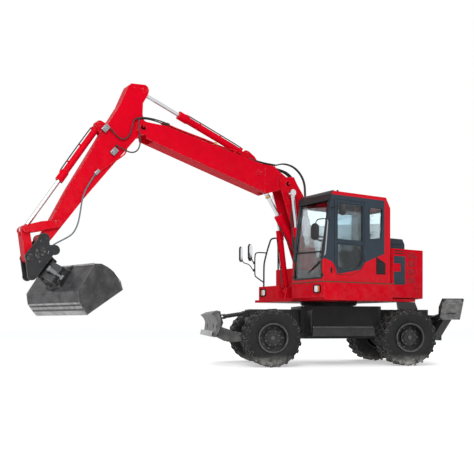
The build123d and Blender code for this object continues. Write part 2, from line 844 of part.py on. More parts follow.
hood_front_x = bay_front_x - 45
hood_rear_x = counterweight_front_x + 25
with BuildPart() as bay_frame:
    with BuildSketch(across(upper, bay_front_x)):
        with Locations((0, (deck_top + house_top) / 2)):
            Rectangle(2 * (house_outer_y - panel_wall), house_top - deck_top)
    extrude(amount=-20)
    with BuildSketch(level(upper, house_top - panel_wall)):
        with Locations(((bay_front_x + counterweight_front_x) / 2, 0)):
            Rectangle(bay_front_x - counterweight_front_x, 2 * (house_outer_y - panel_wall))
        with Locations(((hood_front_x + hood_rear_x) / 2, 0)):
            Rectangle(hood_front_x - hood_rear_x - 90, 2 * hood_outer_y - 100, mode=Mode.SUBTRACT)
    extrude(amount=panel_wall)
write(bay_frame.part, "bay_frame")

with BuildPart() as engine_hood:
    with BuildSketch(side(upper)):
        Polygon(
            (hood_rear_x, house_top + 0.4),
            (hood_front_x, house_top + 0.4),
            (hood_front_x, hood_top),
            (hood_rear_x + 60, hood_top),
            (hood_rear_x, hood_top - 100),
        )
    extrude(amount=hood_outer_y, both=True)
    with BuildSketch(side(upper)):
        Polygon(
            (hood_rear_x + panel_wall, house_top),
            (hood_front_x - panel_wall, house_top),
            (hood_front_x - panel_wall, hood_top - panel_wall),
            (hood_rear_x + 60 + panel_wall / 2, hood_top - panel_wall),
            (hood_rear_x + panel_wall, hood_top - 100 - panel_wall / 2),
        )
    extrude(amount=hood_outer_y - panel_wall, both=True, mode=Mode.SUBTRACT)
write(engine_hood.part, "engine_hood")

door_gap = 6
for hand_name, hand in (("left", 1), ("right", -1)):
    with BuildPart() as service_door:
        with BuildSketch(side(upper, hand * (house_outer_y - panel_wall / 2))):
            Polygon(
                (counterweight_front_x + door_gap, deck_top + 20),
                (bay_front_x - 3, deck_top + 20),
                (bay_front_x - 3, house_top),
                (counterweight_front_x + door_gap, house_top),
            )
        extrude(amount=panel_wall / 2 - 0.5, both=True)
    write(service_door.part, f"service_door_{hand_name}")


def upright(centre, radius, bottom, top):
    """A round upright bar of the upper structure."""
    with BuildPart() as piece:
        with BuildSketch(level(upper, bottom)):
            with Locations(centre):
                Circle(radius)
        extrude(amount=top - bottom)
    return piece.part


# Cab shell with its openings
cab_middle_y = (cab_inner_y + cab_outer_y) / 2
cab_half_y = (cab_outer_y - cab_inner_y) / 2
pillar = 65
cab_floor_z = seam_z
windscreen_low_z = seam_z + 64
windscreen_high_z = cab_roof_z - 125
cab_outline = [  # forward, up
    (cab_rear_x, cab_floor_z),
    (cab_front_x, cab_floor_z),
    (cab_front_x + 5, 1900),
    (cab_front_x - 175, cab_roof_z - 65),
    (cab_front_x - 215, cab_roof_z),
    (cab_rear_x + 110, cab_roof_z),
    (cab_rear_x, cab_roof_z - 195),
]
door_front_x = 790
door_rear_x = 100
hinge_radius = 12
door_hinge = (door_rear_x - door_gap / 2, cab_outer_y + 6)
door_hinge_heights = (2060, 2800)
door_outline = [  # forward, up
    (door_front_x, 3010),
    (door_front_x, 1790),
    (door_front_x - 60, 1680),
    (400, 1680),
    (190, 1770),
    (door_rear_x, 1920),
    (door_rear_x, 3010),
]
pane_front_x = door_front_x - 65
pane_rear_x = door_rear_x + 50
upper_pane = [(pane_front_x, 2950), (pane_front_x, 2310), (pane_rear_x, 2310), (pane_rear_x, 2950)]
lower_pane = [
    (pane_front_x, 2220),
    (pane_front_x, 1770),
    (380, 1770),
    (210, 1850),
    (pane_rear_x, 1960),
    (pane_rear_x, 2220),
]
quarter_pane = [(-45, 2940), (-45, 2360), (-320, 2380), (-350, 2935)]
right_pane = [(820, 2950), (900, 2250), (900, 1800), (-350, 1800), (-400, 2940)]
rear_pane_low_z = 2280
rear_pane_high_z = 2920
with BuildPart() as cab_shell:
    with BuildSketch(side(upper, cab_middle_y)):
        Polygon(*cab_outline)
    extrude(amount=cab_half_y, both=True)
    with BuildSketch(side(upper, cab_middle_y)):
        Polygon(*cab_outline)
        offset(amount=-cab_wall, kind=Kind.INTERSECTION, mode=Mode.REPLACE)
    extrude(amount=cab_half_y - cab_wall, both=True, mode=Mode.SUBTRACT)
    with BuildSketch(across(upper, cab_front_x + 60)):
        with Locations((cab_middle_y, (windscreen_low_z + windscreen_high_z) / 2)):
            Rectangle(2 * (cab_half_y - pillar), windscreen_high_z - windscreen_low_z)
    extrude(amount=-330, mode=Mode.SUBTRACT)
    with BuildSketch(across(upper, cab_rear_x - 60)):
        with Locations((cab_middle_y, (rear_pane_low_z + rear_pane_high_z) / 2)):
            Rectangle(2 * (cab_half_y - 110), rear_pane_high_z - rear_pane_low_z)
    extrude(amount=160, mode=Mode.SUBTRACT)
    with BuildSketch(side(upper, cab_outer_y)):
        Polygon(*door_outline)
        offset(amount=door_gap, kind=Kind.INTERSECTION, mode=Mode.REPLACE)
    extrude(amount=cab_wall + 10, both=True, mode=Mode.SUBTRACT)
    with BuildSketch(side(upper, cab_outer_y)):
        Polygon(*quarter_pane)
    extrude(amount=cab_wall + 10, both=True, mode=Mode.SUBTRACT)
    with BuildSketch(side(upper, cab_inner_y)):
        Polygon(*right_pane)
    extrude(amount=cab_wall + 10, both=True, mode=Mode.SUBTRACT)
    for height in door_hinge_heights:
        add(upright(door_hinge, hinge_radius + seat_gap, height - 50, height + 50), mode=Mode.SUBTRACT)
        add(upright(door_hinge, hinge_radius, height + 50.3, height + 130))
write(cab_shell.part, "cab_shell")

with BuildPart() as cab_door:
    with BuildSketch(side(upper, cab_outer_y - cab_wall / 2)):
        Polygon(*door_outline)
        Polygon(*upper_pane, mode=Mode.SUBTRACT)
        Polygon(*lower_pane, mode=Mode.SUBTRACT)
    extrude(amount=cab_wall / 2, both=True)
    for height in door_hinge_heights:
        add(upright(door_hinge, hinge_radius + seat_gap, height + 50, height + 130.3), mode=Mode.SUBTRACT)
        add(upright(door_hinge, hinge_radius, height - 50, height + 50))
write(cab_door.part, "cab_door")

pane_inset = 14
with BuildPart() as door_glass:
    for pane in (upper_pane, lower_pane):
        with BuildSketch(side(upper, cab_outer_y - pane_inset)):
            Polygon(*pane)
            offset(amount=-seat_gap, kind=Kind.INTERSECTION, mode=Mode.REPLACE)
        extrude(amount=glass_thickness)
write(door_glass.part, "door_glass")


def front_x_at(height):
    """The cab front's x at a height on its sloping upper part."""
    low, high = cab_outline[2], cab_outline[3]
    return low[0] + (high[0] - low[0]) * (height - low[1]) / (high[1] - low[1])


with BuildPart() as cab_glass:
    with BuildSketch(side(upper, cab_middle_y)):
        high_x = front_x_at(windscreen_high_z) - pane_inset
        Polygon(
            (cab_front_x - pane_inset, windscreen_low_z + seat_gap),
            (cab_front_x + 5 - pane_inset, 1900),
            (high_x, windscreen_high_z - seat_gap),
            (high_x - glass_thickness, windscreen_high_z - seat_gap),
            (cab_front_x + 5 - pane_inset - glass_thickness, 1900),
            (cab_front_x - pane_inset - glass_thickness, windscreen_low_z + seat_gap),
        )
    extrude(amount=cab_half_y - pillar - seat_gap, both=True)
    with BuildSketch(across(upper, cab_rear_x + pane_inset)):
        with Locations((cab_middle_y, (rear_pane_low_z + rear_pane_high_z) / 2)):
            Rectangle(2 * (cab_half_y - 110 - seat_gap), rear_pane_high_z - rear_pane_low_z - 2 * seat_gap)
    extrude(amount=glass_thickness)
    with BuildSketch(side(upper, cab_outer_y - pane_inset)):
        Polygon(*quarter_pane)
        offset(amount=-seat_gap, kind=Kind.INTERSECTION, mode=Mode.REPLACE)
    extrude(amount=glass_thickness)
    with BuildSketch(side(upper, cab_inner_y + pane_inset)):
        Polygon(*right_pane)
        offset(amount=-seat_gap, kind=Kind.INTERSECTION, mode=Mode.REPLACE)
    extrude(amount=-glass_thickness)
write(cab_glass.part, "cab_glass")

# Inside the cab
cab_floor_top = cab_floor_z + cab_wall
seat_x = -60
seat_top = cab_floor_top + 330
column_foot = (800, cab_floor_top)
column_top = (620, 2330)
column_frame = link_frame(upper, column_foot, angle_between(column_foot, column_top))
column_length = distance(column_foot, column_top)
with BuildPart() as cab_fittings:
    with BuildSketch(level(upper, cab_floor_top)):
        with Locations((seat_x, cab_middle_y)):
            Rectangle(420, 400)
    extrude(amount=seat_top - cab_floor_top)
    for hand in (1, -1):
        with BuildSketch(side(upper, cab_middle_y + hand * 320)):
            Polygon(
                (seat_x - 150, cab_floor_top),
                (seat_x + 150, cab_floor_top),
                (seat_x + 330, cab_floor_top + 520),
                (seat_x + 300, cab_floor_top + 600),
                (seat_x - 150, cab_floor_top + 560),
            )
        extrude(amount=65, both=True)
        with BuildSketch(level(upper, cab_floor_top + 560)):
            with Locations((seat_x + 270, cab_middle_y + hand * 320)):
                Circle(16)
        extrude(amount=190)
    with BuildSketch(side(column_frame, cab_middle_y)):
        Polygon((-10, -75), (column_length, -40), (column_length, 40), (30, 75))
    extrude(amount=50, both=True)
    with BuildSketch(level(upper, cab_floor_top)):
        with Locations((column_foot[0] - 20, cab_middle_y)):
            Rectangle(240, 220)
    extrude(amount=60)
    with BuildSketch(across(column_frame, column_length)):
        with Locations((cab_middle_y, 0)):
            Circle(185)
            Circle(160, mode=Mode.SUBTRACT)
            Rectangle(340, 30)
    extrude(amount=28)
write(cab_fittings.part, "cab_fittings")

with BuildPart() as seat:
    with BuildSketch(side(upper, cab_middle_y)):
        Polygon(
            (seat_x - 230, seat_top + seat_gap),
            (seat_x + 270, seat_top + seat_gap),
            (seat_x + 290, seat_top + 110),
            (seat_x - 110, seat_top + 90),
            (seat_x - 190, seat_top + 640),
            (seat_x - 290, seat_top + 640),
        )
    extrude(amount=240, both=True)
write(seat.part, "seat")


# Handrail and mirrors on the right, made of round tube
def tube(points, radius):
    """A round tube along straight runs between points of the upper frame."""
    with BuildPart() as run:
        for start, end in zip(points, points[1:]):
            foot = upper.from_local_coords(Vector(*start))
            direction = upper.from_local_coords(Vector(*end)) - foot
            with BuildSketch(Plane(foot, z_dir=direction)):
                Circle(radius)
            extrude(amount=direction.length)
            if start != points[0]:
                with Locations(foot):
                    Sphere(radius)
    return run.part


rail_y = 25 - house_outer_y
rail = [  # forward, up
    (800, seam_z),
    (800, seam_z + 60),
    (780, 1980),
    (640, 2480),
    (500, 2540),
    (410, 2300),
    (410, 1900),
]
mirror_arm = [(725, -1165, 2180), (1010, -1175, 2230), (1110, -1180, 2260), (1330, -1180, 2170)]
with BuildPart() as handrail:
    add(tube([(x, rail_y, z) for x, z in rail], 17))
    add(tube(mirror_arm, 11))
    for mirror_x, mirror_z in ((1110, 2250), (1330, 2160)):
        with BuildSketch(across(upper, mirror_x)):
            with Locations((-1180, mirror_z)):
                Rectangle(170, 270)
                chamfer(vertices(), 30)
        extrude(amount=22, both=True)
write(handrail.part, "handrail")


# Boom, arm and tool: plates in a link's side view, and round pins and bosses across it
def slab(frame, outline, inner, outer):
    """An outline in a frame's side view, thickened from one y to another."""
    with BuildPart() as piece:
        with BuildSketch(side(frame, (inner + outer) / 2)):
            Polygon(*outline)
        extrude(amount=abs(outer - inner) / 2, both=True)
    return piece.part


def bar(frame, centre, radius, inner, outer):
    """A round bar across a frame, from one y to another."""
    with BuildPart() as piece:
        with BuildSketch(side(frame, (inner + outer) / 2)):
            with Locations(centre):
                Circle(radius)
        extrude(amount=abs(outer - inner) / 2, both=True)
    return piece.part


lower_boom_outline = [  # along, towards the cab
    (-40, -125),
    (260, -170),
    (1284, -185),
    (1751, -171),
    (1900, -135),
    (1951, -63),
    (1890, 190),
    (1741, 219),
    (1494, 290),
    (1000, 270),
    (300, 190),
    (-40, 125),
]
lower_boom_cavity = [  # along, towards the cab
    (180, -400),
    (2100, -400),
    (2100, 400),
    (1600, 400),
    (1500, 255),
    (1000, 244),
    (330, 164),
    (235, 120),
]
boom_cavity_half = boom_half_width - boom_plate
adjusting_base = (330, -60)
adjusting_pin_radius = 35
lift_top = (lift_top_along, lift_top_above)
knuckle_point = (lower_boom_length, 0)
pin_bore = boom_pin_radius + pin_clearance
with BuildPart() as lower_boom:
    add(slab(lower_boom_frame, lower_boom_outline, -boom_half_width, boom_half_width))
    add(bar(lower_boom_frame, (0, 0), 130, -cheek_inner + 0.5, cheek_inner - 0.5))
    add(slab(lower_boom_frame, lower_boom_cavity, -boom_cavity_half, boom_cavity_half), mode=Mode.SUBTRACT)
    add(bar(lower_boom_frame, knuckle_point, boom_pin_radius, -boom_half_width - 14, boom_half_width + 14))
    add(bar(lower_boom_frame, adjusting_base, adjusting_pin_radius, -boom_half_width, boom_half_width))
    for hand in (1, -1):
        boss_start = hand * (boom_half_width - 12)
        add(bar(lower_boom_frame, lift_top, 70, boss_start, hand * (lift_y - lift_eye_width / 2 - 5)))
    add(bar(lower_boom_frame, (0, 0), pin_bore, -cheek_inner, cheek_inner), mode=Mode.SUBTRACT)
write(lower_boom.part, "lower_boom")

upper_boom_outline = [  # along, up
    (345, 235),
    (650, 186),
    (1075, 188),
    (upper_boom_length - 1242, 177),
    (upper_boom_length - 360, 170),
    (upper_boom_length - 1, 106),
    (upper_boom_length - 95, -154),
    (upper_boom_length - 1517, -247),
    (403, -312),
    (125, -148),
    (144, 86),
]
tongue_outline = [(0, 120), (345, 235), (403, -300), (125, -148), (0, -120)]
tongue_half = boom_cavity_half - 6
arm_ear_outline = [(620, 180), (760, 300), (890, 350), (934, 358), (980, 348), (1010, 320), (1050, 185)]
arm_ram_base = (934, 283)
arm_ram_pin_radius = 30
large_eye_width = 80
ear_thickness = 25
adjusting_top = (380, -230)
adjusting_eye_width = 96
fork_half = arm_half_width + 14
ear_inner = large_eye_width / 2 + cheek_gap
eye_slot_half = adjusting_eye_width / 2 + cheek_gap
with BuildPart() as upper_boom:
    add(slab(upper_boom_frame, upper_boom_outline, -boom_half_width, boom_half_width))
    add(bar(upper_boom_frame, (upper_boom_length, 0), 120, -boom_half_width, boom_half_width))
    for hand in (1, -1):
        cut = bar(upper_boom_frame, (0, 0), 233, hand * tongue_half, hand * (boom_half_width + 10))
        add(cut, mode=Mode.SUBTRACT)
    add(slab(upper_boom_frame, tongue_outline, -tongue_half, tongue_half))
    add(bar(upper_boom_frame, (0, 0), 125, -tongue_half, tongue_half))
    add(bar(upper_boom_frame, (0, 0), pin_bore, -tongue_half, tongue_half), mode=Mode.SUBTRACT)
    rod_slot = [(-100, -165), (505, -165), (515, -500), (-100, -500)]
    add(slab(upper_boom_frame, rod_slot, -eye_slot_half, eye_slot_half), mode=Mode.SUBTRACT)
    fork_root = upper_boom_length - 235
    fork_end = upper_boom_length + 282
    fork_slot = [(fork_root, -400), (fork_end, -400), (fork_end, 400), (fork_root, 400)]
    add(slab(upper_boom_frame, fork_slot, -fork_half, fork_half), mode=Mode.SUBTRACT)
    arm_pin_end = boom_half_width + 14
    add(bar(upper_boom_frame, (upper_boom_length, 0), boom_pin_radius, -arm_pin_end, arm_pin_end))
    for hand in (1, -1):
        add(slab(upper_boom_frame, arm_ear_outline, hand * ear_inner, hand * (ear_inner + ear_thickness)))
    add(bar(upper_boom_frame, arm_ram_base, arm_ram_pin_radius, -ear_inner - 10, ear_inner + 10))
write(upper_boom.part, "upper_boom")

arm_outline = [  # along, outwards
    (-378, 607),
    (-293, 585),
    (0, 500),
    (487, 426),
    (arm_length - 869, 222),
    (arm_length - 318, 103),
    (arm_length + 5, 42),
    (arm_length, -85),
    (arm_length - 90, -89),
    (arm_length - 927, -51),
    (784, -43),
    (110, -41),
    (0, -100),
    (-100, 0),
    (-178, 134),
    (-332, 252),
    (-500, 280),
    (-570, 310),
    (-584, 360),
    (-560, 405),
    (-500, 420),
    (-430, 470),
    (-400, 590),
]
arm_rod_slot = [(-900, -300), (15, -300), (-119, -108), (-463, 383), (-440, 440), (-600, 450), (-900, 450)]
arm_ram_top = (-512.6, 348.6)
bucket_ram_base = (487.5, 517)
bucket_ear_outline = [(370, 400), (425, 553), (455, 580), (487, 587), (520, 580), (550, 553), (620, 380)]
rocker_along = arm_length - rocker_pin_back
rocker_pin_radius = 35
with BuildPart() as arm:
    add(slab(arm_frame, arm_outline, -arm_half_width, arm_half_width))
    add(bar(arm_frame, (0, 0), 115, -fork_half + 0.5, fork_half - 0.5))
    add(bar(arm_frame, (arm_length, 0), 85, -arm_half_width, arm_half_width))
    add(slab(arm_frame, arm_rod_slot, -ear_inner - 4, ear_inner + 4), mode=Mode.SUBTRACT)
    for hand in (1, -1):
        add(slab(arm_frame, bucket_ear_outline, hand * ear_inner, hand * (ear_inner + ear_thickness)))
    add(bar(arm_frame, bucket_ram_base, arm_ram_pin_radius, -ear_inner - 10, ear_inner + 10))
    add(bar(arm_frame, (0, 0), pin_bore, -fork_half, fork_half), mode=Mode.SUBTRACT)
    add(bar(arm_frame, (arm_length, 0), pin_bore, -arm_half_width, arm_half_width), mode=Mode.SUBTRACT)
    rocker_bore = rocker_pin_radius + pin_clearance
    add(bar(arm_frame, (rocker_along, 0), rocker_bore, -arm_half_width, arm_half_width), mode=Mode.SUBTRACT)
write(arm.part, "arm")


# Rams of the boom, arm and bucket
def ram_line(base_frame, base, end_frame, end):
    """The frame along a ram and its length between pins, from its two pins' places in their links."""
    start = place_in(base_frame, *base)
    finish = place_in(end_frame, *end)
    return link_frame(boom_plane, start, angle_between(start, finish)), distance(start, finish)


lift_frame, lift_length = ram_line(boom_plane, lift_base, lower_boom_frame, lift_top)
lift_barrel_length = 1200
lift_offsets = (-lift_y, lift_y)
lift_barrels = ram_barrel(
    lift_frame, lift_offsets, 75, lift_eye_width, lift_pin_radius, 58, 34, lift_barrel_length
)
write(lift_barrels, "lift_barrels")
write(ram_rod(lift_frame, lift_offsets, 62, lift_eye_width, 34, 590, lift_length), "lift_rods")

adjusting_line = ram_line(lower_boom_frame, adjusting_base, upper_boom_frame, adjusting_top)
adjusting_frame, adjusting_length = adjusting_line
adjusting_barrel_length = 990
adjusting_barrel = ram_barrel(
    adjusting_frame, (0,), 80, 2 * boom_cavity_half - 6, adjusting_pin_radius, 72, 40, adjusting_barrel_length
)
write(adjusting_barrel, "adjusting_barrel")
write(ram_rod(adjusting_frame, (0,), 58, adjusting_eye_width, 40, 320, adjusting_length), "adjusting_rod")

arm_ram_frame, arm_ram_length = ram_line(upper_boom_frame, arm_ram_base, arm_frame, arm_ram_top)
arm_barrel_length = 1459
arm_barrel = ram_barrel(
    arm_ram_frame, (0,), 70, large_eye_width, arm_ram_pin_radius, 62, 36, arm_barrel_length
)
write(arm_barrel, "arm_barrel")
write(ram_rod(arm_ram_frame, (0,), 56, large_eye_width, 36, 620, arm_ram_length), "arm_rod")

top_pin_in_rocker = (rocker_length, 0)
bucket_ram_frame, bucket_ram_length = ram_line(arm_frame, bucket_ram_base, rocker_frame, top_pin_in_rocker)
bucket_barrel_length = 1170
bucket_barrel = ram_barrel(
    bucket_ram_frame, (0,), 66, large_eye_width, arm_ram_pin_radius, 52, 34, bucket_barrel_length
)
write(bucket_barrel, "bucket_barrel")
write(ram_rod(bucket_ram_frame, (0,), 58, large_eye_width, 34, 350, bucket_ram_length), "bucket_rod")

# Linkage between the arm, the bucket ram and the coupler
rocker_inner = 154
rocker_outer = 178
with BuildPart() as rocker:
    for hand in (1, -1):
        plate = [(0, -58), (rocker_length, -55), (rocker_length, 55), (rocker_length / 2, 75), (0, 58)]
        add(slab(rocker_frame, plate, hand * rocker_inner, hand * rocker_outer))
        add(bar(rocker_frame, (0, 0), 58, hand * rocker_inner, hand * rocker_outer))
        add(bar(rocker_frame, top_pin_in_rocker, 55, hand * rocker_inner, hand * rocker_outer))
        stub_end = hand * (large_eye_width / 2 + 3)
        add(bar(rocker_frame, top_pin_in_rocker, rocker_pin_radius, stub_end, hand * rocker_outer))
    add(bar(rocker_frame, (0, 0), rocker_pin_radius, -rocker_outer, rocker_outer))
write(rocker.part, "rocker")

link_slot_half = large_eye_width / 2 + 4
with BuildPart() as tool_link:
    link_plate = [(0, -62), (link_length, -68), (link_length, 68), (0, 62)]
    add(slab(tool_link_frame, link_plate, -arm_half_width, arm_half_width))
    add(bar(tool_link_frame, (0, 0), 62, -arm_half_width, arm_half_width))
    add(bar(tool_link_frame, (link_length, 0), 68, -arm_half_width, arm_half_width))
    eye_slot = [(-200, -200), (95, -200), (95, 200), (-200, 200)]
    add(slab(tool_link_frame, eye_slot, -link_slot_half, link_slot_half), mode=Mode.SUBTRACT)
    add(bar(tool_link_frame, (0, 0), rocker_bore, -arm_half_width, arm_half_width), mode=Mode.SUBTRACT)
write(tool_link.part, "tool_link")

coupler_inner = arm_half_width + 4
coupler_outer = coupler_inner + 28
coupler_outline = [  # along the coupler, outwards
    (-85, -30),
    (-20, 90),
    (60, 70),
    (330, 80),
    (440, 30),
    (640, -160),
    (600, -255),
    (60, -255),
    (-40, -200),
    (20, -120),
]
coupler_lobes = [  # along, outwards, radius
    (0, 0, 90),
    (tool_pin_spacing, 0, 80),
    (35, -228, 80),
    (575, -187, 70),
]
tilt_along = 330
tilt_above = -320
tilt_lug_half = 176
tilt_lug_thickness = 40
tilt_pin_radius = 40
with BuildPart() as coupler:
    for hand in (1, -1):
        add(slab(coupler_frame, coupler_outline, hand * coupler_inner, hand * coupler_outer))
        for along, above, radius in coupler_lobes:
            add(bar(coupler_frame, (along, above), radius, hand * coupler_inner, hand * coupler_outer))
        cap = bar(coupler_frame, (tool_pin_spacing, 0), 48, hand * coupler_outer, hand * (coupler_outer + 14))
        add(cap)
    add(bar(coupler_frame, (0, 0), boom_pin_radius, -coupler_outer - 3, coupler_outer + 3))
    web = [(60, -150), (530, -150), (530, -250), (60, -250)]
    add(slab(coupler_frame, web, -coupler_inner, coupler_inner))
    for along in (tilt_along - tilt_lug_half, tilt_along + tilt_lug_half):
        with BuildSketch(across(coupler_frame, along)):
            Polygon((-120, -230), (120, -230), (70, tilt_above), (-70, tilt_above))
            with Locations((0, tilt_above)):
                Circle(70)
        extrude(amount=tilt_lug_thickness / 2, both=True)
    with BuildSketch(across(coupler_frame, tilt_along)):
        with Locations((0, tilt_above)):
            Circle(tilt_pin_radius)
    extrude(amount=tilt_lug_half, both=True)
write(coupler.part, "coupler")

# Tilting head, with the turntable's bore underneath
tilt_at_rest = -11.2
turn_at_rest = 8.1
housing_half = 150
housing_half_width = 200
housing_bottom = -200
rotor_depth = 50
rotor_pin_radius = 60
tilt_origin = coupler_frame.from_local_coords((tilt_along, 0, tilt_above))
level_tilt = Plane(tilt_origin, x_dir=coupler_frame.x_dir, z_dir=coupler_frame.z_dir)
tilt_frame = turned(level_tilt, level_tilt.x_dir, tilt_at_rest)
with BuildPart() as tilt_head:
    with BuildSketch(across(tilt_frame)):
        Circle(60)
        Polygon(
            (-42, 42),
            (42, 42),
            (housing_half_width, -116),
            (housing_half_width, housing_bottom),
            (-housing_half_width, housing_bottom),
            (-housing_half_width, -116),
        )
    extrude(amount=housing_half, both=True)
    with BuildSketch(across(tilt_frame)):
        Circle(tilt_pin_radius + pin_clearance)
    extrude(amount=housing_half, both=True, mode=Mode.SUBTRACT)
    with BuildSketch(level(tilt_frame, housing_bottom)):
        Circle(rotor_pin_radius + pin_clearance)
    extrude(amount=rotor_depth + 2, mode=Mode.SUBTRACT)
write(tilt_head.part, "tilt_head")

# Ditching bucket under its turntable
bucket_drop = -290
rotor_origin = tilt_frame.from_local_coords((0, 0, bucket_drop))
square_bucket = Plane(rotor_origin, x_dir=tilt_frame.x_dir, z_dir=tilt_frame.z_dir)
bucket_frame = turned(square_bucket, square_bucket.z_dir, turn_at_rest)
bucket_half_width = 750
bucket_plate = 20
lip_front = (430, -335)
lip_edge = (-259, -631)
with BuildPart() as bucket:
    for grow, half_width, mode in (
        (0, bucket_half_width, Mode.ADD),
        (-bucket_plate, bucket_half_width - bucket_plate, Mode.SUBTRACT),
    ):
        with BuildSketch(side(bucket_frame)):
            with BuildLine():
                Line((-281, 10), (246, 4))
                Line((246, 4), (370, -110))
                Line((370, -110), (415, -250))
                Line((415, -250), lip_front)
                Line(lip_front, lip_edge)
                ThreePointArc(lip_edge, (-385, -330), (-350, -80))
                Line((-350, -80), (-281, 10))
            make_face()
            if grow:
                offset(amount=grow, kind=Kind.INTERSECTION, mode=Mode.REPLACE)
        extrude(amount=half_width, both=True, mode=mode)
    mouth = [(395, -290), (450, -400), (-200, -665), (-235, -560)]
    mouth_half = bucket_half_width - bucket_plate
    add(slab(bucket_frame, mouth, -mouth_half, mouth_half), mode=Mode.SUBTRACT)
    with BuildSketch(level(bucket_frame, 0)):
        Rectangle(340, 400)
    extrude(amount=bucket_drop - housing_bottom + 90 + 50)
    with BuildSketch(level(bucket_frame, 50)):
        Circle(180)
    extrude(amount=-bucket_drop + housing_bottom - 51)
    with BuildSketch(level(bucket_frame, 50)):
        Circle(rotor_pin_radius)
    extrude(amount=-bucket_drop + housing_bottom + rotor_depth - 50)
write(bucket.part, "bucket")
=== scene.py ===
# %% [markdown]
# # Dressing a wheeled excavator
# The solids of the machine come from CAD as a fixed frame. This notebook adds the camera, the light,
# the paint and the small pieces that make it look real. The scene is in metres, X runs forward along
# the boom, Y to the operator's left and Z up. Pieces are drawn in millimetres in the frame of the link
# that carries them, because that is how a drawing of such a machine is dimensioned.

# %% Load the frame
import json
from math import atan2, cos, hypot, pi, radians, sin

import bmesh
import bpy
from mathutils import Matrix, Vector


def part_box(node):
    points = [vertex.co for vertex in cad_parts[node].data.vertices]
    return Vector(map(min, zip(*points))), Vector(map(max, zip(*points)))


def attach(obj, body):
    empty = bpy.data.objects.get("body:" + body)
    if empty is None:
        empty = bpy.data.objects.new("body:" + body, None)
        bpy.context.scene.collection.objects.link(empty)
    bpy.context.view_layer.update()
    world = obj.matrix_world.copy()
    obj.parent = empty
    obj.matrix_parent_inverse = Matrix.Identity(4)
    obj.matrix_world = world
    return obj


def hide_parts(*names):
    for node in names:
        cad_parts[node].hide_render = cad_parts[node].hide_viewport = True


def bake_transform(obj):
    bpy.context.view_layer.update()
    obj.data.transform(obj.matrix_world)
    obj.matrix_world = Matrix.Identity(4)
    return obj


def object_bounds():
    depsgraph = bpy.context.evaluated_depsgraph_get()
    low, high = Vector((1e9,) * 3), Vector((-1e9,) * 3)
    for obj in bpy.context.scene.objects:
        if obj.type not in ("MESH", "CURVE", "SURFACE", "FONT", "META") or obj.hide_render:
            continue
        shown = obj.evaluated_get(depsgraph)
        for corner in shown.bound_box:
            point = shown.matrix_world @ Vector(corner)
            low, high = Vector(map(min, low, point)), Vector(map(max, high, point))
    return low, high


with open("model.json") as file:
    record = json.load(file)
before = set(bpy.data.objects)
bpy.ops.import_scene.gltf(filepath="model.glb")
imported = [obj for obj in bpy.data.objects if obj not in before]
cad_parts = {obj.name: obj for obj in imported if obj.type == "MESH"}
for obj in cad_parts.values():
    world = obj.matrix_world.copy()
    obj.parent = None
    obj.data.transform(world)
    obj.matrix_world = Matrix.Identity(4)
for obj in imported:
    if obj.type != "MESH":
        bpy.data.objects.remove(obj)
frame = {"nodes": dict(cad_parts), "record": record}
cad_box = [[float(v) for v in corner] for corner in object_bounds()]
nodes = frame["nodes"]
print("CAD box", cad_box)

# %% [markdown]
# ## Camera
# The photograph was taken from the machine's left front, from chest height. A shift of the lens keeps
# the verticals upright, as in a photograph that was cropped from a larger one.

# %% The photographer's place
camera_data = bpy.data.cameras.new("camera")
camera_data.lens = 54.05
camera_data.sensor_width = 36.0
camera_data.shift_x = -0.0862
camera_data.shift_y = 0.1914
camera = bpy.data.objects.new("camera", camera_data)
camera.location = (7.189, 11.105, 0.814)
camera.rotation_euler = (radians(90 - 0.451), 0.0, radians(-124.504 - 90))
bpy.context.scene.collection.objects.link(camera)
bpy.context.scene.camera = camera
bpy.context.scene.view_settings.view_transform = "Standard"

# %% [markdown]
# ## Node helpers
# Every finish below is a tree of shader nodes. A short helper that makes a node, sets it and joins its
# inputs keeps those trees readable, and reads from top to bottom in the order the signal flows.

# %% Helpers for nodes
def node(tree, kind, inputs=(), **settings):
    """A node with its settings, and with each named input set or joined to a socket."""
    made = tree.nodes.new(kind)
    for key, value in settings.items():
        setattr(made, key, value)
    for name, value in dict(inputs).items():
        if isinstance(value, bpy.types.NodeSocket):
            tree.links.new(value, made.inputs[name])
        else:
            made.inputs[name].default_value = value
    return made


def new_group(name, inputs, outputs):
    """An empty node group with named sockets: its tree, its input node and its output node."""
    tree = bpy.data.node_groups.new(name, "ShaderNodeTree")
    for label, kind, value in inputs:
        tree.interface.new_socket(label, in_out="INPUT", socket_type=kind).default_value = value
    for label, kind in outputs:
        tree.interface.new_socket(label, in_out="OUTPUT", socket_type=kind)
    return tree, tree.nodes.new("NodeGroupInput"), tree.nodes.new("NodeGroupOutput")


def place_of(tree, scale=(1.0, 1.0, 1.0), turn=(0.0, 0.0, 0.0)):
    """The point on the object, scaled and turned."""
    coordinate = node(tree, "ShaderNodeTexCoord")
    return node(tree, "ShaderNodeMapping", {"Vector": coordinate.outputs["Object"], "Scale": scale, "Rotation": turn})


def spread(tree, value, low, high, to_low=0.0, to_high=1.0):
    """A value eased from one range to another."""
    return node(
        tree,
        "ShaderNodeMapRange",
        {"Value": value, "From Min": low, "From Max": high, "To Min": to_low, "To Max": to_high},
        interpolation_type="SMOOTHSTEP",
    ).outputs["Result"]


def times(tree, first, second):
    """The product of two values."""
    made = node(tree, "ShaderNodeMath", operation="MULTIPLY")
    for socket, value in zip(made.inputs, (first, second)):
        if isinstance(value, bpy.types.NodeSocket):
            tree.links.new(value, socket)
        else:
            socket.default_value = value
    return made.outputs[0]


def mixed(tree, factor, first, second):
    """Two colours mixed by a mask."""
    made = node(tree, "ShaderNodeMix", data_type="RGBA")
    for index, value in ((0, factor), (6, first), (7, second)):
        if isinstance(value, bpy.types.NodeSocket):
            tree.links.new(value, made.inputs[index])
        else:
            made.inputs[index].default_value = value
    return made.outputs[2]


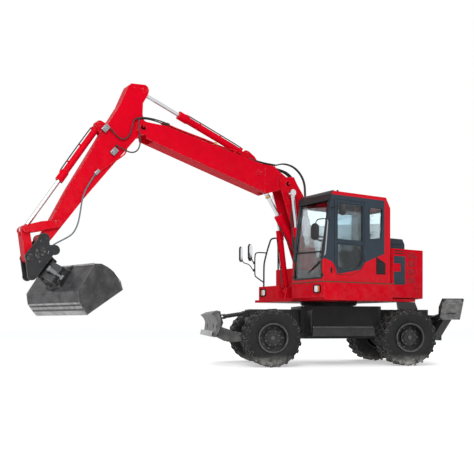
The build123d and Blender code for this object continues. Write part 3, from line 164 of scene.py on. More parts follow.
COLOUR, NUMBER = "NodeSocketColor", "NodeSocketFloat"

# %% [markdown]
# ## Effects shared by the finishes
# Paint that has stood outdoors is never one flat colour: it fades in cloudy patches, it is rubbed bare
# on its corners, and dust settles on it, most of all low down and on what faces up. Each of these is a
# node group, so that paint, rubber and steel can take it in their own measure.

# %% Faded patches
def faded_group():
    """A colour that varies in soft patches a hand wide and in larger clouds."""
    tree, given, out = new_group(
        "faded patches",
        [("Colour", COLOUR, (1, 1, 1, 1)), ("Amount", NUMBER, 0.1), ("Scale", NUMBER, 3.0)],
        [("Colour", COLOUR), ("Patches", NUMBER)],
    )
    place = place_of(tree)
    clouds = node(
        tree,
        "ShaderNodeTexNoise",
        {"Vector": place.outputs["Vector"], "Scale": given.outputs["Scale"], "Detail": 5.0, "Roughness": 0.6},
    )
    patches = spread(tree, clouds.outputs["Fac"], 0.3, 0.7, -1.0, 1.0)
    shift = times(tree, patches, given.outputs["Amount"])
    brightness = node(tree, "ShaderNodeMath", operation="ADD")
    tree.links.new(shift, brightness.inputs[0])
    brightness.inputs[1].default_value = 1.0
    varied = node(tree, "ShaderNodeHueSaturation", {"Color": given.outputs["Colour"], "Value": brightness.outputs[0]})
    tree.links.new(varied.outputs["Color"], out.inputs["Colour"])
    tree.links.new(patches, out.inputs["Patches"])
    return tree


FADED = faded_group()
print("made", FADED.name)

# %% [markdown]
# Worn edges: the Bevel node gives the normal that a rounded corner would have. Where that differs from
# the true normal there is a corner, and a noise breaks the line up so that the wear looks rubbed.

# %% Rubbed corners
def rubbed_group():
    """A mask of the corners where paint has been rubbed off."""
    tree, given, out = new_group("rubbed corners", [("Width", NUMBER, 0.006), ("Scale", NUMBER, 18.0)], [("Mask", NUMBER)])
    rounded = node(tree, "ShaderNodeBevel", {"Radius": given.outputs["Width"]}, samples=4)
    true = node(tree, "ShaderNodeNewGeometry")
    facing = node(tree, "ShaderNodeVectorMath", operation="DOT_PRODUCT")
    tree.links.new(rounded.outputs["Normal"], facing.inputs[0])
    tree.links.new(true.outputs["Normal"], facing.inputs[1])
    corner = spread(tree, facing.outputs["Value"], 0.995, 0.86)
    scratches = node(
        tree,
        "ShaderNodeTexNoise",
        {"Vector": place_of(tree).outputs["Vector"], "Scale": given.outputs["Scale"], "Detail": 6.0, "Roughness": 0.7},
    )
    broken = spread(tree, scratches.outputs["Fac"], 0.42, 0.6)
    tree.links.new(times(tree, corner, broken), out.inputs["Mask"])
    return tree


RUBBED = rubbed_group()
print("made", RUBBED.name)

# %% [markdown]
# Settled dust: dust is thickest near the ground and thins out upward, so its mask is a slope over the
# height. A coarse noise breaks it into splashes, and a share of it lies on every face that looks up.

# %% Settled dust
def dust_group():
    """A mask of dust that thins out from one height to another, and lies on upward faces."""
    tree, given, out = new_group(
        "settled dust",
        [("Bottom", NUMBER, 0.1), ("Top", NUMBER, 1.2), ("Low amount", NUMBER, 0.7), ("Top amount", NUMBER, 0.2)],
        [("Mask", NUMBER)],
    )
    place = place_of(tree)
    height = node(tree, "ShaderNodeSeparateXYZ", {"Vector": place.outputs["Vector"]})
    slope = spread(tree, height.outputs["Z"], given.outputs["Top"], given.outputs["Bottom"])
    splashes = node(
        tree, "ShaderNodeTexNoise", {"Vector": place.outputs["Vector"], "Scale": 7.0, "Detail": 8.0, "Roughness": 0.72}
    )
    low = times(tree, times(tree, slope, spread(tree, splashes.outputs["Fac"], 0.35, 0.68)), given.outputs["Low amount"])
    normal = node(
        tree, "ShaderNodeSeparateXYZ", {"Vector": node(tree, "ShaderNodeNewGeometry").outputs["Normal"]}
    )
    film = node(
        tree, "ShaderNodeTexNoise", {"Vector": place.outputs["Vector"], "Scale": 2.3, "Detail": 6.0, "Roughness": 0.6}
    )
    up = times(tree, spread(tree, normal.outputs["Z"], 0.55, 0.95), spread(tree, film.outputs["Fac"], 0.3, 0.75))
    both = node(tree, "ShaderNodeMath", operation="MAXIMUM")
    tree.links.new(low, both.inputs[0])
    tree.links.new(times(tree, up, given.outputs["Top amount"]), both.inputs[1])
    tree.links.new(both.outputs[0], out.inputs["Mask"])
    return tree


DUST = dust_group()
print("made", DUST.name)

# %% [markdown]
# ## Finishes
# One function makes a weathered finish from a handful of numbers: its colour, what shows where it is
# rubbed, how much dust it holds, and how rough and coarse it is. The shader itself stays in the
# material, and only the numbers that vary over the surface reach it through nodes.

# %% Weathered finishes
DUST_COLOUR = (0.42, 0.39, 0.34, 1.0)
STEEL_COLOUR = (0.30, 0.29, 0.28, 1.0)


def grouped(tree, group, inputs):
    """A node group placed in a material."""
    made = tree.nodes.new("ShaderNodeGroup")
    made.node_tree = group
    for name, value in inputs.items():
        if isinstance(value, bpy.types.NodeSocket):
            tree.links.new(value, made.inputs[name])
        else:
            made.inputs[name].default_value = value
    return made


def blank_material(name):
    """A new material with its tree and its shader."""
    material = bpy.data.materials.new(name)
    material.use_nodes = True
    tree = material.node_tree
    return material, tree, tree.nodes["Principled BSDF"]


def weathered(
    name,
    colour,
    fade=0.08,
    fade_scale=2.5,
    roughness=0.38,
    coat=0.0,
    metallic=0.0,
    bare=STEEL_COLOUR,
    rub_width=0.0,
    dust=(0.0, 1.0, 0.0, 0.0),
    dust_colour=DUST_COLOUR,
    grain=(60.0, 0.0),
    painted=None,
    specular=0.5,
):
    """A finish with faded patches, rubbed corners, dust and grain; painted may recolour it first."""
    material, tree, shader = blank_material(name)
    base = painted(tree) if painted else (*colour, 1.0)
    faded = grouped(tree, FADED, {"Colour": base, "Amount": fade, "Scale": fade_scale})
    shown = faded.outputs["Colour"]
    if rub_width:
        rubbed = grouped(tree, RUBBED, {"Width": rub_width})
        shown = mixed(tree, rubbed.outputs["Mask"], shown, bare)
    settled = grouped(tree, DUST, dict(zip(("Bottom", "Top", "Low amount", "Top amount"), dust)))
    shown = mixed(tree, settled.outputs["Mask"], shown, dust_colour)
    tree.links.new(shown, shader.inputs["Base Color"])
    rough = spread(tree, settled.outputs["Mask"], 0.0, 0.8, roughness, 0.95)
    tree.links.new(rough, shader.inputs["Roughness"])
    shader.inputs["Metallic"].default_value = metallic
    shader.inputs["Coat Weight"].default_value = coat
    shader.inputs["Coat Roughness"].default_value = 0.12
    shader.inputs["Specular IOR Level"].default_value = specular
    scale, depth = grain
    if depth:
        texture = node(
            tree, "ShaderNodeTexNoise", {"Vector": place_of(tree).outputs["Vector"], "Scale": scale, "Detail": 4.0}
        )
        bump = node(tree, "ShaderNodeBump", {"Height": texture.outputs["Fac"], "Distance": depth})
        tree.links.new(bump.outputs["Normal"], shader.inputs["Normal"])
    return material


# %% [markdown]
# The cab shell carries two colours. Its frame is dark blue-grey, and the red of the body comes up round
# the door in a stepped line, covers the rear post and returns on the rear of the roof. A Float Curve
# holds that line as height over length, which is easier to adjust than a painted texture.

# %% The cab's two colours
RED = (0.60, 0.0008, 0.012)
SLATE = (0.030, 0.043, 0.058)
BLACK = (0.012, 0.013, 0.015)
CAB_SPAN = (-2.30, -0.50)
CAB_RISE = (1.5, 2.3)
COLOUR_LINE = [  # forward of the slew axis, up, in millimetres
    (-630, 2300),
    (-440, 2112),
    (66, 1919),
    (95, 1890),
    (179, 1777),
    (728, 1678),
    (783, 1817),
    (858, 1896),
    (985, 1939),
    (1170, 1945),
]


def between(tree, value, low, high):
    """One where a value lies between two others, and nothing elsewhere."""
    above = node(tree, "ShaderNodeMath", operation="GREATER_THAN")
    below = node(tree, "ShaderNodeMath", operation="LESS_THAN")
    for made, limit in ((above, low), (below, high)):
        tree.links.new(value, made.inputs[0])
        made.inputs[1].default_value = limit
    return times(tree, above.outputs[0], below.outputs[0])


def cab_inner_painted_shade(tree, place):
    """The inner faces of the cab's walls, made black as painted shade of the cab's interior."""
    leaning = node(tree, "ShaderNodeMath", operation="MULTIPLY_ADD")
    tree.links.new(place.outputs["Z"], leaning.inputs[0])
    leaning.inputs[1].default_value = 0.14
    tree.links.new(place.outputs["X"], leaning.inputs[2])
    behind_screen = between(tree, leaning.outputs[0], -9.0, -0.387)
    within = times(tree, behind_screen, between(tree, place.outputs["Y"], 0.2275, 1.1675))
    low = times(tree, between(tree, place.outputs["X"], -2.222, 0.0), between(tree, place.outputs["Z"], 1.62, 2.955))
    high = times(tree, between(tree, place.outputs["X"], -2.105, 0.0), between(tree, place.outputs["Z"], 2.9, 3.1625))
    either = node(tree, "ShaderNodeMath", operation="MAXIMUM")
    tree.links.new(low, either.inputs[0])
    tree.links.new(high, either.inputs[1])
    return times(tree, within, either.outputs[0])


def deck_colours(tree):
    """Red on the revolving frame's deck, dark on the ring below it."""
    place = node(tree, "ShaderNodeSeparateXYZ", {"Vector": place_of(tree).outputs["Vector"]})
    return mixed(tree, between(tree, place.outputs["Z"], 1.206, 9.0), (0.012, 0.012, 0.013, 1.0), (*RED, 1.0))


def cab_colours(tree):
    """Slate above the colour line, red below it, on the rear post and on the rear of the roof."""
    place = node(tree, "ShaderNodeSeparateXYZ", {"Vector": place_of(tree).outputs["Vector"]})
    forward, up = place.outputs["X"], place.outputs["Z"]
    along = node(tree, "ShaderNodeMapRange", {"Value": forward, "From Min": CAB_SPAN[0], "From Max": CAB_SPAN[1]})
    line = node(tree, "ShaderNodeFloatCurve", {"Value": along.outputs["Result"]})
    curve = line.mapping.curves[0]
    scaled = [
        ((x / 1000 - 1.67 - CAB_SPAN[0]) / (CAB_SPAN[1] - CAB_SPAN[0]), (z / 1000 - CAB_RISE[0]) / (CAB_RISE[1] - CAB_RISE[0]))
        for x, z in COLOUR_LINE
    ]
    while len(curve.points) < len(scaled):
        curve.points.new(0.5, 0.5)
    for point, place_on_line in zip(curve.points, scaled):
        point.location = place_on_line
        point.handle_type = "VECTOR"
    line.mapping.update()
    level = node(
        tree, "ShaderNodeMapRange", {"Value": line.outputs["Value"], "To Min": CAB_RISE[0], "To Max": CAB_RISE[1]}
    )
    below = node(tree, "ShaderNodeMath", operation="LESS_THAN")
    tree.links.new(up, below.inputs[0])
    tree.links.new(level.outputs["Result"], below.inputs[1])
    behind = node(tree, "ShaderNodeMath", operation="LESS_THAN")
    tree.links.new(forward, behind.inputs[0])
    behind.inputs[1].default_value = -1.67 - 0.415
    roof = node(tree, "ShaderNodeMath", operation="GREATER_THAN")
    tree.links.new(up, roof.inputs[0])
    roof.inputs[1].default_value = 3.102
    red = node(tree, "ShaderNodeMath", operation="MAXIMUM")
    tree.links.new(below.outputs[0], red.inputs[0])
    tree.links.new(behind.outputs[0], red.inputs[1])
    rear = node(tree, "ShaderNodeMath", operation="MAXIMUM")
    tree.links.new(red.outputs[0], rear.inputs[0])
    tree.links.new(roof.outputs[0], rear.inputs[1])
    outside = mixed(tree, rear.outputs[0], (*SLATE, 1.0), (*RED, 1.0))
    # The black on the inner faces is painted shade of the cab's interior.
    return mixed(tree, cab_inner_painted_shade(tree, place), outside, (*BLACK, 1.0))


# %% [markdown]
# Now the finishes themselves, one for each material slot of the record. The boom and the body share a
# red, but the body holds a little more dust. The tyres and the undercarriage carry pale dust at the
# bottom, as in the photograph, and the bucket and the blade are bare steel, scratched in streaks.

# %% The finishes by slot
FINISH = {
    "red_paint": weathered(
        "red body paint", RED, 0.05, roughness=0.36, dust=(0.9, 2.6, 0.05, 0.03), rub_width=0.003, specular=0.03
    ),
    "boom_paint": weathered(
        "red boom paint", RED, 0.06, roughness=0.38, dust=(1.2, 4.5, 0.04, 0.03), rub_width=0.005, specular=0.03
    ),
    "ram_paint": weathered(
        "red ram paint", RED, 0.08, roughness=0.38, dust=(0.4, 2.0, 0.10, 0.03), rub_width=0.003, specular=0.03
    ),
    "cab_paint": weathered(
        "cab paint", SLATE, 0.05, roughness=0.34, dust=(0.9, 3.2, 0.03, 0.02), rub_width=0.002, painted=cab_colours,
        specular=0.14,
    ),
    "dark_chassis": weathered(
        "undercarriage paint", (0.010, 0.0105, 0.012), 0.35, 4.0, roughness=0.5, dust=(0.0, 0.9, 0.16, 0.05), rub_width=0.005,
        bare=(0.07, 0.065, 0.06, 1.0), grain=(40.0, 0.002), specular=0.35,
    ),
    "tyre_rubber": weathered(
        "tyre rubber", (0.0085, 0.0085, 0.009), 0.3, 6.0, roughness=0.7, dust=(0.02, 0.24, 1.0, 0.06), rub_width=0.014,
        bare=(0.27, 0.265, 0.25, 1.0), dust_colour=(0.40, 0.39, 0.36, 1.0), grain=(80.0, 0.002), specular=0.3,
    ),
    "rim_paint": weathered(
        "rim paint", (0.016, 0.0165, 0.018), 0.3, 6.0, roughness=0.45, dust=(0.0, 0.6, 0.25, 0.06), rub_width=0.004,
        bare=(0.12, 0.115, 0.11, 1.0), grain=(70.0, 0.001), specular=0.35,
    ),
    "chrome_rod": weathered("chromed rod", (0.66, 0.67, 0.69), 0.03, roughness=0.12, metallic=1.0),
    "worn_steel": weathered(
        "worn steel", (0.075, 0.075, 0.078), 0.5, 5.0, roughness=0.48, metallic=0.35, dust=(0.0, 1.4, 0.22, 0.08), rub_width=0.010,
        bare=(0.34, 0.33, 0.32, 1.0), grain=(30.0, 0.003),
    ),
    "dark_plastic": weathered("black plastic", BLACK, 0.1, roughness=0.5, dust=(0.6, 2.4, 0.05, 0.03), grain=(300.0, 0.0004), specular=0.35),
    "seat_fabric": weathered("seat cloth", (0.022, 0.023, 0.026), 0.2, 30.0, roughness=0.92, grain=(900.0, 0.0008)),
    "engine_iron": weathered("engine iron", (0.05, 0.05, 0.052), 0.3, 8.0, roughness=0.6, grain=(50.0, 0.003)),
}
DECK_PAINT = weathered(
    "deck paint", RED, 0.05, roughness=0.4, dust=(0.9, 1.6, 0.08, 0.05), rub_width=0.003, painted=deck_colours, specular=0.03
)
LINK_BLACK = weathered(
    "black link paint", (0.011, 0.0115, 0.013), 0.4, 6.0, roughness=0.42, dust=(0.3, 2.0, 0.10, 0.04), rub_width=0.011,
    bare=(0.22, 0.215, 0.21, 1.0), grain=(35.0, 0.002), specular=0.4,
)
print(len(FINISH), "finishes")

# %% [markdown]
# Glass lets the light through with a slight grey-green tint, and reflects the studio at a glance. It is
# a Principled shader with full transmission, and part of the light passes it unbent to reach the cab.

# %% Glass
def glass(name, colour, alpha, roughness=0.01):
    """Clear or tinted glass."""
    material, tree, shader = blank_material(name)
    shader.inputs["Base Color"].default_value = (*colour, 1.0)
    shader.inputs["Roughness"].default_value = roughness
    shader.inputs["Transmission Weight"].default_value = 1.0
    shader.inputs["Alpha"].default_value = alpha
    shader.inputs["IOR"].default_value = 1.45
    return material


FINISH["window_glass"] = glass("window glass", (0.66, 0.79, 0.83), 0.7)
# The door glass is much darker than the other panes: painted shade of the cab's interior behind it.
DOOR_GLASS_PAINTED_SHADE = glass("door glass darkened as painted shade", (0.22, 0.32, 0.37), 0.82)
CLEAR_LENS = weathered("clear lens", (0.74, 0.76, 0.78), 0.12, 60.0, roughness=0.12, coat=0.5)
AMBER_LENS = weathered("amber lens", (0.62, 0.13, 0.015), 0.1, 60.0, roughness=0.15, coat=0.5)
BARE_STEEL = weathered("turned steel", (0.50, 0.50, 0.51), 0.06, roughness=0.28, metallic=1.0)
HOSE_RUBBER = weathered("hose rubber", (0.014, 0.015, 0.018), 0.2, 20.0, roughness=0.55, grain=(500.0, 0.0005))
CAB_SLATE = weathered("slate paint", SLATE, 0.05, roughness=0.36, rub_width=0.003, specular=0.14)
SEAL_RUBBER = weathered("seal rubber", (0.008, 0.008, 0.009), 0.1, roughness=0.6)

OTHER_FINISH = {"engine_hood": CAB_SLATE, "door_glass": DOOR_GLASS_PAINTED_SHADE, "upper_frame": DECK_PAINT, "blade_ram_barrels": FINISH["dark_chassis"]}
OTHER_FINISH.update({f"stabiliser_barrel_{side}": FINISH["dark_chassis"] for side in ("left", "right")})
OTHER_FINISH.update({name: LINK_BLACK for name in ("coupler", "tilt_head")})
OTHER_FINISH.update({name: FINISH["boom_paint"] for name in ("rocker", "tool_link")})
for part in frame["record"]["subparts"]:
    mesh = nodes[part["node"]].data
    mesh.materials.clear()
    mesh.materials.append(OTHER_FINISH.get(part["node"], FINISH[part["material_slot"]]))

# %% [markdown]
# ## Frames of the links
# Each link of the machine has its own frame, as on its drawing: X along the link and Z to its upper
# side. A piece is drawn in millimetres in that frame, and one matrix carries it to its place.

# %% The links' frames
def link(base, along, above, angle, across=0.0):
    """A frame at a point of another frame's side view, pitched up by an angle."""
    return base @ Matrix.Translation((along, across, above)) @ Matrix.Rotation(-radians(angle), 4, "Y")


def aimed(base, start, target, end):
    """A frame at a pin whose X points at a pin of another link, and the length between them."""
    foot = base @ Vector((start[0], 0.0, start[1]))
    run = target @ Vector((end[0], 0.0, end[1])) - foot
    turn = Matrix.Rotation(-atan2(run.z, run.x), 4, "Y")
    return Matrix.Translation(foot) @ turn @ Matrix.Scale(0.001, 4), run.length * 1000


UPPER = Matrix.Scale(0.001, 4) @ Matrix.Translation((-1670, 0, 0))
CHASSIS = UPPER @ Matrix.Rotation(radians(-24), 4, "Z")
BOOM_PLANE = UPPER @ Matrix.Translation((0, -130, 0))
LOWER_BOOM = link(BOOM_PLANE, 400, 1750, 69.85)
UPPER_BOOM = link(LOWER_BOOM, 1800, 0, 11.88 - 69.85)
ARM = link(UPPER_BOOM, 3018, 0, -50.22 - 11.88)
ROCKER = link(ARM, 2554 - 321, 0, -13.05 + 50.22)
COUPLER = link(ARM, 2554, 0, -54.1 + 50.22)
TILT = COUPLER @ Matrix.Translation((330, 0, -320)) @ Matrix.Rotation(radians(-11.2), 4, "X")
BUCKET = TILT @ Matrix.Translation((0, 0, -290)) @ Matrix.Rotation(radians(8.1), 4, "Z")
LIFT_RAM, lift_length = aimed(BOOM_PLANE, (740, 1420), LOWER_BOOM, (1624, -43))
ARM_RAM, arm_ram_length = aimed(UPPER_BOOM, (934, 283), ARM, (-512.6, 348.6))
BUCKET_RAM, bucket_ram_length = aimed(ARM, (487.5, 517), ROCKER, (492, 0))
print("rams", round(lift_length), round(arm_ram_length), round(bucket_ram_length))

# %% [markdown]
# ## Shape helpers
# A few shapes make up most fittings: an outline thickened into a plate, a block, a turned shape and a
# pipe. Each starts from a few vertices and lets an operator such as extrude, spin or bevel do the rest.

# %% Helpers for shapes
def softened(shape, width, segments=2):
    """The shape with its sharp edges rounded."""
    if width:
        sharp = [edge for edge in shape.edges if edge.calc_face_angle(0.0) > 0.5]
        bmesh.ops.bevel(
            shape, geom=sharp, offset=width, segments=segments, profile=0.5, affect="EDGES", material=-1, clamp_overlap=True
        )
    return shape


def plate(outline, low, high, rounding=0.0):
    """An outline in the side view (forward, up), thickened from one Y to another."""
    shape = bmesh.new()
    face = shape.faces.new([shape.verts.new((x, low, z)) for x, z in outline])
    grown = bmesh.ops.extrude_face_region(shape, geom=[face])["geom"]
    bmesh.ops.translate(shape, vec=(0, high - low, 0), verts=[v for v in grown if isinstance(v, bmesh.types.BMVert)])
    bmesh.ops.recalc_face_normals(shape, faces=shape.faces)
    return softened(shape, rounding)


def block(low, high, rounding=0.0):
    """A box between two corners."""
    shape = bmesh.new()
    bmesh.ops.create_cube(shape, size=1.0)
    bmesh.ops.scale(shape, vec=[b - a for a, b in zip(low, high)], verts=shape.verts)
    bmesh.ops.translate(shape, vec=[(a + b) / 2 for a, b in zip(low, high)], verts=shape.verts)
    return softened(shape, rounding)


def turned(profile, steps=24):
    """A profile (radius, height) spun about Z."""
    shape = bmesh.new()
    line = [shape.verts.new((radius, 0, height)) for radius, height in profile]
    edges = [shape.edges.new(pair) for pair in zip(line, line[1:])]
    bmesh.ops.spin(
        shape, geom=line + edges, cent=(0, 0, 0), axis=(0, 0, 1), angle=2 * pi, steps=steps, use_merge=True
    )
    bmesh.ops.remove_doubles(shape, verts=shape.verts, dist=0.01)
    bmesh.ops.recalc_face_normals(shape, faces=shape.faces)
    return shape


def placed(shape, matrix):
    """The shape moved by a matrix."""
    shape.transform(matrix)
    return shape


def pointing(start, end):
    """A frame at a point whose Z points at another point."""
    run = Vector(end) - Vector(start)
    return Matrix.Translation(start) @ run.to_track_quat("Z", "Y").to_matrix().to_4x4()


def bar(start, end, radius, steps=16):
    """A round bar from one point to another."""
    length = (Vector(end) - Vector(start)).length
    return placed(turned([(0, 0), (radius, 0), (radius, length), (0, length)], steps), pointing(start, end))


def bolt(start, end, radius):
    """A bolt head with its washer, from its seat to its top."""
    length = (Vector(end) - Vector(start)).length
    shape = bmesh.new()
    washer = Matrix.Translation((0, 0, length * 0.1))
    bmesh.ops.create_cone(
        shape, cap_ends=True, segments=12, radius1=radius * 1.5, radius2=radius * 1.5, depth=length * 0.2, matrix=washer
    )
    head = Matrix.Translation((0, 0, length * 0.6))
    bmesh.ops.create_cone(shape, cap_ends=True, segments=6, radius1=radius, radius2=radius, depth=length * 0.8, matrix=head)
    return placed(shape, pointing(start, end))


def pipe(points, radius, roundness=3):
    """A smooth round pipe whose line is a spline with these control points."""
    curve = bpy.data.curves.new("run", "CURVE")
    curve.dimensions = "3D"
    curve.bevel_depth = radius
    curve.bevel_resolution = roundness
    curve.resolution_u = 6
    curve.use_fill_caps = True
    spline = curve.splines.new("NURBS")
    spline.points.add(len(points) - 1)
    for point, where in zip(spline.points, points):
        point.co = (*where, 1.0)
    spline.order_u = 3
    spline.use_endpoint_u = True
    holder = bpy.data.objects.new("run", curve)
    mesh = bpy.data.meshes.new_from_object(holder)
    shape = bmesh.new()
    shape.from_mesh(mesh)
    bmesh.ops.remove_doubles(shape, verts=shape.verts, dist=0.01)
    bmesh.ops.recalc_face_normals(shape, faces=shape.faces)
    bpy.data.objects.remove(holder)
    bpy.data.curves.remove(curve)
    bpy.data.meshes.remove(mesh)
    return shape


def make(name, body, base, shapes, slot, material=None, smooth=35.0):
    """One piece from shapes in millimetres of a link's frame, in a slot's finish, on a body, or fixed in place when it
    spans two.
    """
    whole = bmesh.new()
    for shape in shapes:
        if not shape.faces:
            raise ValueError(f"a shape of {name} has no faces")
        loose = bpy.data.meshes.new("loose")
        shape.to_mesh(loose)
        shape.free()
        whole.from_mesh(loose)
        bpy.data.meshes.remove(loose)
    whole.transform(base)
    for face in whole.faces:
        face.smooth = True
    mesh = bpy.data.meshes.new(name)
    whole.to_mesh(mesh)
    whole.free()
    mesh.set_sharp_from_angle(angle=radians(smooth))
    mesh.materials.append(material or FINISH[slot])
    piece = bpy.data.objects.new(name, mesh)
    bpy.context.scene.collection.objects.link(piece)
    if isinstance(body, str):
        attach(piece, body)
    else:
        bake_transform(piece)
    return piece


# %% [markdown]
# ## Tyres
# A twin tyre of this kind has a round carcass and bold lugs that run from the middle of the tread over
# the shoulder. The carcass is a spun section a lug's depth below the tread, and one lug, thickened from
# its section and sheared to its slant, is repeated round it. The piece replaces the plain CAD tyre.

# %% Carcass and lugs
TYRE_RADIUS = 527.5
TYRE_HALF = 139.0
AXLES = {"front": 1337.0, "rear": -1236.0}
HANDS = {"left": 1, "right": -1}
LUGS = 22


def carcass(middle):
    """One tyre's casing about Z, at a distance across."""
    half = [(105, 254.5), (105, 274), (128, 318), (138, 380), (139, 430), (134, 470), (120, 494), (70, 503), (0, 505)]
    section = [(radius, middle + across) for across, radius in half]
    section += [(radius, middle - across) for across, radius in reversed(half[:-1])]
    section.append(section[0])
    return turned(section, 48)


def lug(hand, turn):
    """One lug over the shoulder, at an angle round the tyre."""
    outline = [(4, 496), (4, 524), (60, 527), (106, 526.5), (128, 496), (138, 440), (130, 440), (112, 486)]
    shape = plate([(hand * across, radius) for across, radius in outline], -21, 21, 4)
    shear = Matrix.Identity(4)
    shear[1][0] = hand * 0.42
    shape.transform(shear)
    shape.transform(Matrix.Rotation(radians(90), 4, "Z"))
    shape.transform(Matrix.Rotation(turn, 4, "Y"))
    return shape


def twin_tyres(end, side):
    """The two tyres of one wheel."""
    hand = HANDS[side]
    shapes = []
    for middle in (1260 - TYRE_HALF, 1260 - 606 + TYRE_HALF):
        tyre = [placed(carcass(0.0), Matrix.Rotation(radians(-90), 4, "X"))]
        for index in range(LUGS):
            step = 2 * pi * index / LUGS
            tyre += [lug(1, step), lug(-1, step + pi / LUGS)]
        shapes += [placed(shape, Matrix.Translation((0, hand * middle, 0))) for shape in tyre]
    base = CHASSIS @ Matrix.Translation((AXLES[end], 0, TYRE_RADIUS))
    piece = make(f"lugged_tyres_{end}_{side}", f"wheel_{end}_{side}", base, shapes, "tyre_rubber")
    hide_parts(f"tyres_{end}_{side}")


for end in AXLES:
    for side in HANDS:
        twin_tyres(end, side)
print("tyres with", 4 * LUGS, "lugs a wheel")

# %% [markdown]
# ## Wheel fittings
# The disc is held by a ring of studs, and the hub cap by smaller bolts. The rim's outer flange has a
# split lock ring. They are small, but they are what makes a wheel read as a wheel from the side.

# %% Studs, lock ring and hub bolts
STUD_STEEL = weathered("dull studs", (0.055, 0.055, 0.056), 0.4, 12.0, roughness=0.4, rub_width=0.006, bare=(0.32, 0.31, 0.30, 1.0), grain=(70.0, 0.001))


def wheel_fittings(end, side):
    """Studs, hub bolts, centre cap and lock ring of one wheel."""
    hand = HANDS[side]
    disc, hub, cap = hand * 1070, hand * 1160, hand * 1198
    shapes = []
    for index in range(10):
        angle = 2 * pi * index / 10
        x, z = 192 * cos(angle), 192 * sin(angle)
        shapes.append(bolt((x, disc, z), (x, disc + hand * 26, z), 15))
        shapes.append(bar((x, disc, z), (x, disc + hand * 44, z), 8, 8))
    for index in range(8):
        angle = 2 * pi * (index + 0.5) / 8
        x, z = 126 * cos(angle), 126 * sin(angle)
        shapes.append(bolt((x, hub, z), (x, hub + hand * 12, z), 9))
    shapes.append(bar((0, cap, 0), (0, cap + hand * 14, 0), 34, 24))
    ring = turned([(252, 0), (268, 0), (268, 12), (252, 12), (252, 0)], 48)
    shapes.append(placed(ring, Matrix.Translation((0, hand * 1243, 0)) @ Matrix.Rotation(radians(-90 * hand), 4, "X")))
    base = CHASSIS @ Matrix.Translation((AXLES[end], 0, TYRE_RADIUS))
    make(f"wheel_fittings_{end}_{side}", f"wheel_{end}_{side}", base, shapes, "rim_paint", STUD_STEEL)


for end in AXLES:
    for side in HANDS:
        wheel_fittings(end, side)

# %% [markdown]
# ## Cab trim
# Windows are bonded or held in rubber, and from outside each shows a black band round the glass. The
# inset operator turns a window's outline into such a band, and an extrusion gives it thickness.

# %% Bands, panels and window seals
def band(outline, low, high, width):
    """A closed band inside an outline in the side view, from one Y to another."""
    shape = bmesh.new()
    face = shape.faces.new([shape.verts.new((x, low, z)) for x, z in outline])
    bmesh.ops.inset_region(shape, faces=[face], thickness=width, use_even_offset=True, use_boundary=True)
    bmesh.ops.delete(shape, geom=[face], context="FACES")
    grown = bmesh.ops.extrude_face_region(shape, geom=shape.faces[:])["geom"]
    bmesh.ops.translate(shape, vec=(0, high - low, 0), verts=[v for v in grown if isinstance(v, bmesh.types.BMVert)])
    bmesh.ops.recalc_face_normals(shape, faces=shape.faces)
    return shape


def facing_front(shape, place):
    """A shape of the side view turned to face forward, with its middle at a place."""
    return placed(shape, Matrix.Translation(place) @ Matrix.Rotation(radians(-90), 4, "Z"))


def corners(width, height, cut=0.0):
    """A rectangle's outline about its middle, with cut corners."""
    w, h = width / 2, height / 2
    if not cut:
        return [(-w, -h), (w, -h), (w, h), (-w, h)]
    return [(-w + cut, -h), (w - cut, -h), (w, -h + cut), (w, h - cut), (w - cut, h), (-w + cut, h), (-w, h - cut), (-w, -h + cut)]


def grown_by(outline, amount):
    """An outline moved outward from its middle, corner by corner."""
    x0 = sum(x for x, z in outline) / len(outline)
    z0 = sum(z for x, z in outline) / len(outline)
    return [(x + (amount if x > x0 else -amount), z + (amount if z > z0 else -amount)) for x, z in outline]


UPPER_PANE = [(150, 2310), (725, 2310), (725, 2950), (150, 2950)]
LOWER_PANE = [(150, 1960), (210, 1850), (380, 1770), (725, 1770), (725, 2220), (150, 2220)]
QUARTER_PANE = [(-320, 2380), (-45, 2360), (-45, 2940), (-350, 2935)]
RIGHT_PANE = [(-350, 1800), (900, 1800), (900, 2250), (820, 2950), (-400, 2940)]
DOOR_EDGE = [(400, 1680), (730, 1680), (790, 1790), (790, 3010), (100, 3010), (100, 1920), (190, 1770)]
door_seals = make("door_seals", "cab_door", UPPER, [band(grown_by(p, 10), 1162, 1177, 34) for p in (UPPER_PANE, LOWER_PANE)], "dark_plastic", SEAL_RUBBER)
edge_seal = make("door_edge_seal", "upper", UPPER, [band(grown_by(DOOR_EDGE, 14), 1166, 1174, 13)], "dark_plastic", SEAL_RUBBER)
side_seals = make(
    "side_window_seals", "upper", UPPER,
    [band(grown_by(QUARTER_PANE, 8), 1162, 1176, 28), band(grown_by(RIGHT_PANE, 8), 219, 233, 30)], "dark_plastic", SEAL_RUBBER,
)
print("faces of the seals", [len(piece.data.polygons) for piece in (door_seals, edge_seal, side_seals)])

# %% [markdown]
# The windscreen is in two panes with a dark bar between them, and a wiper lies across its lower half.
# Over it a black visor folds from the roof. All of them follow the cab's sloping front line.

# %% Windscreen, visor and wiper
def front(z, out=0.0):
    """How far forward the cab's front line is at a height."""
    return (1050 - 0.15 * (z - 1900) if z > 1900 else 1045 + (z - 1536) / 72.8) + out


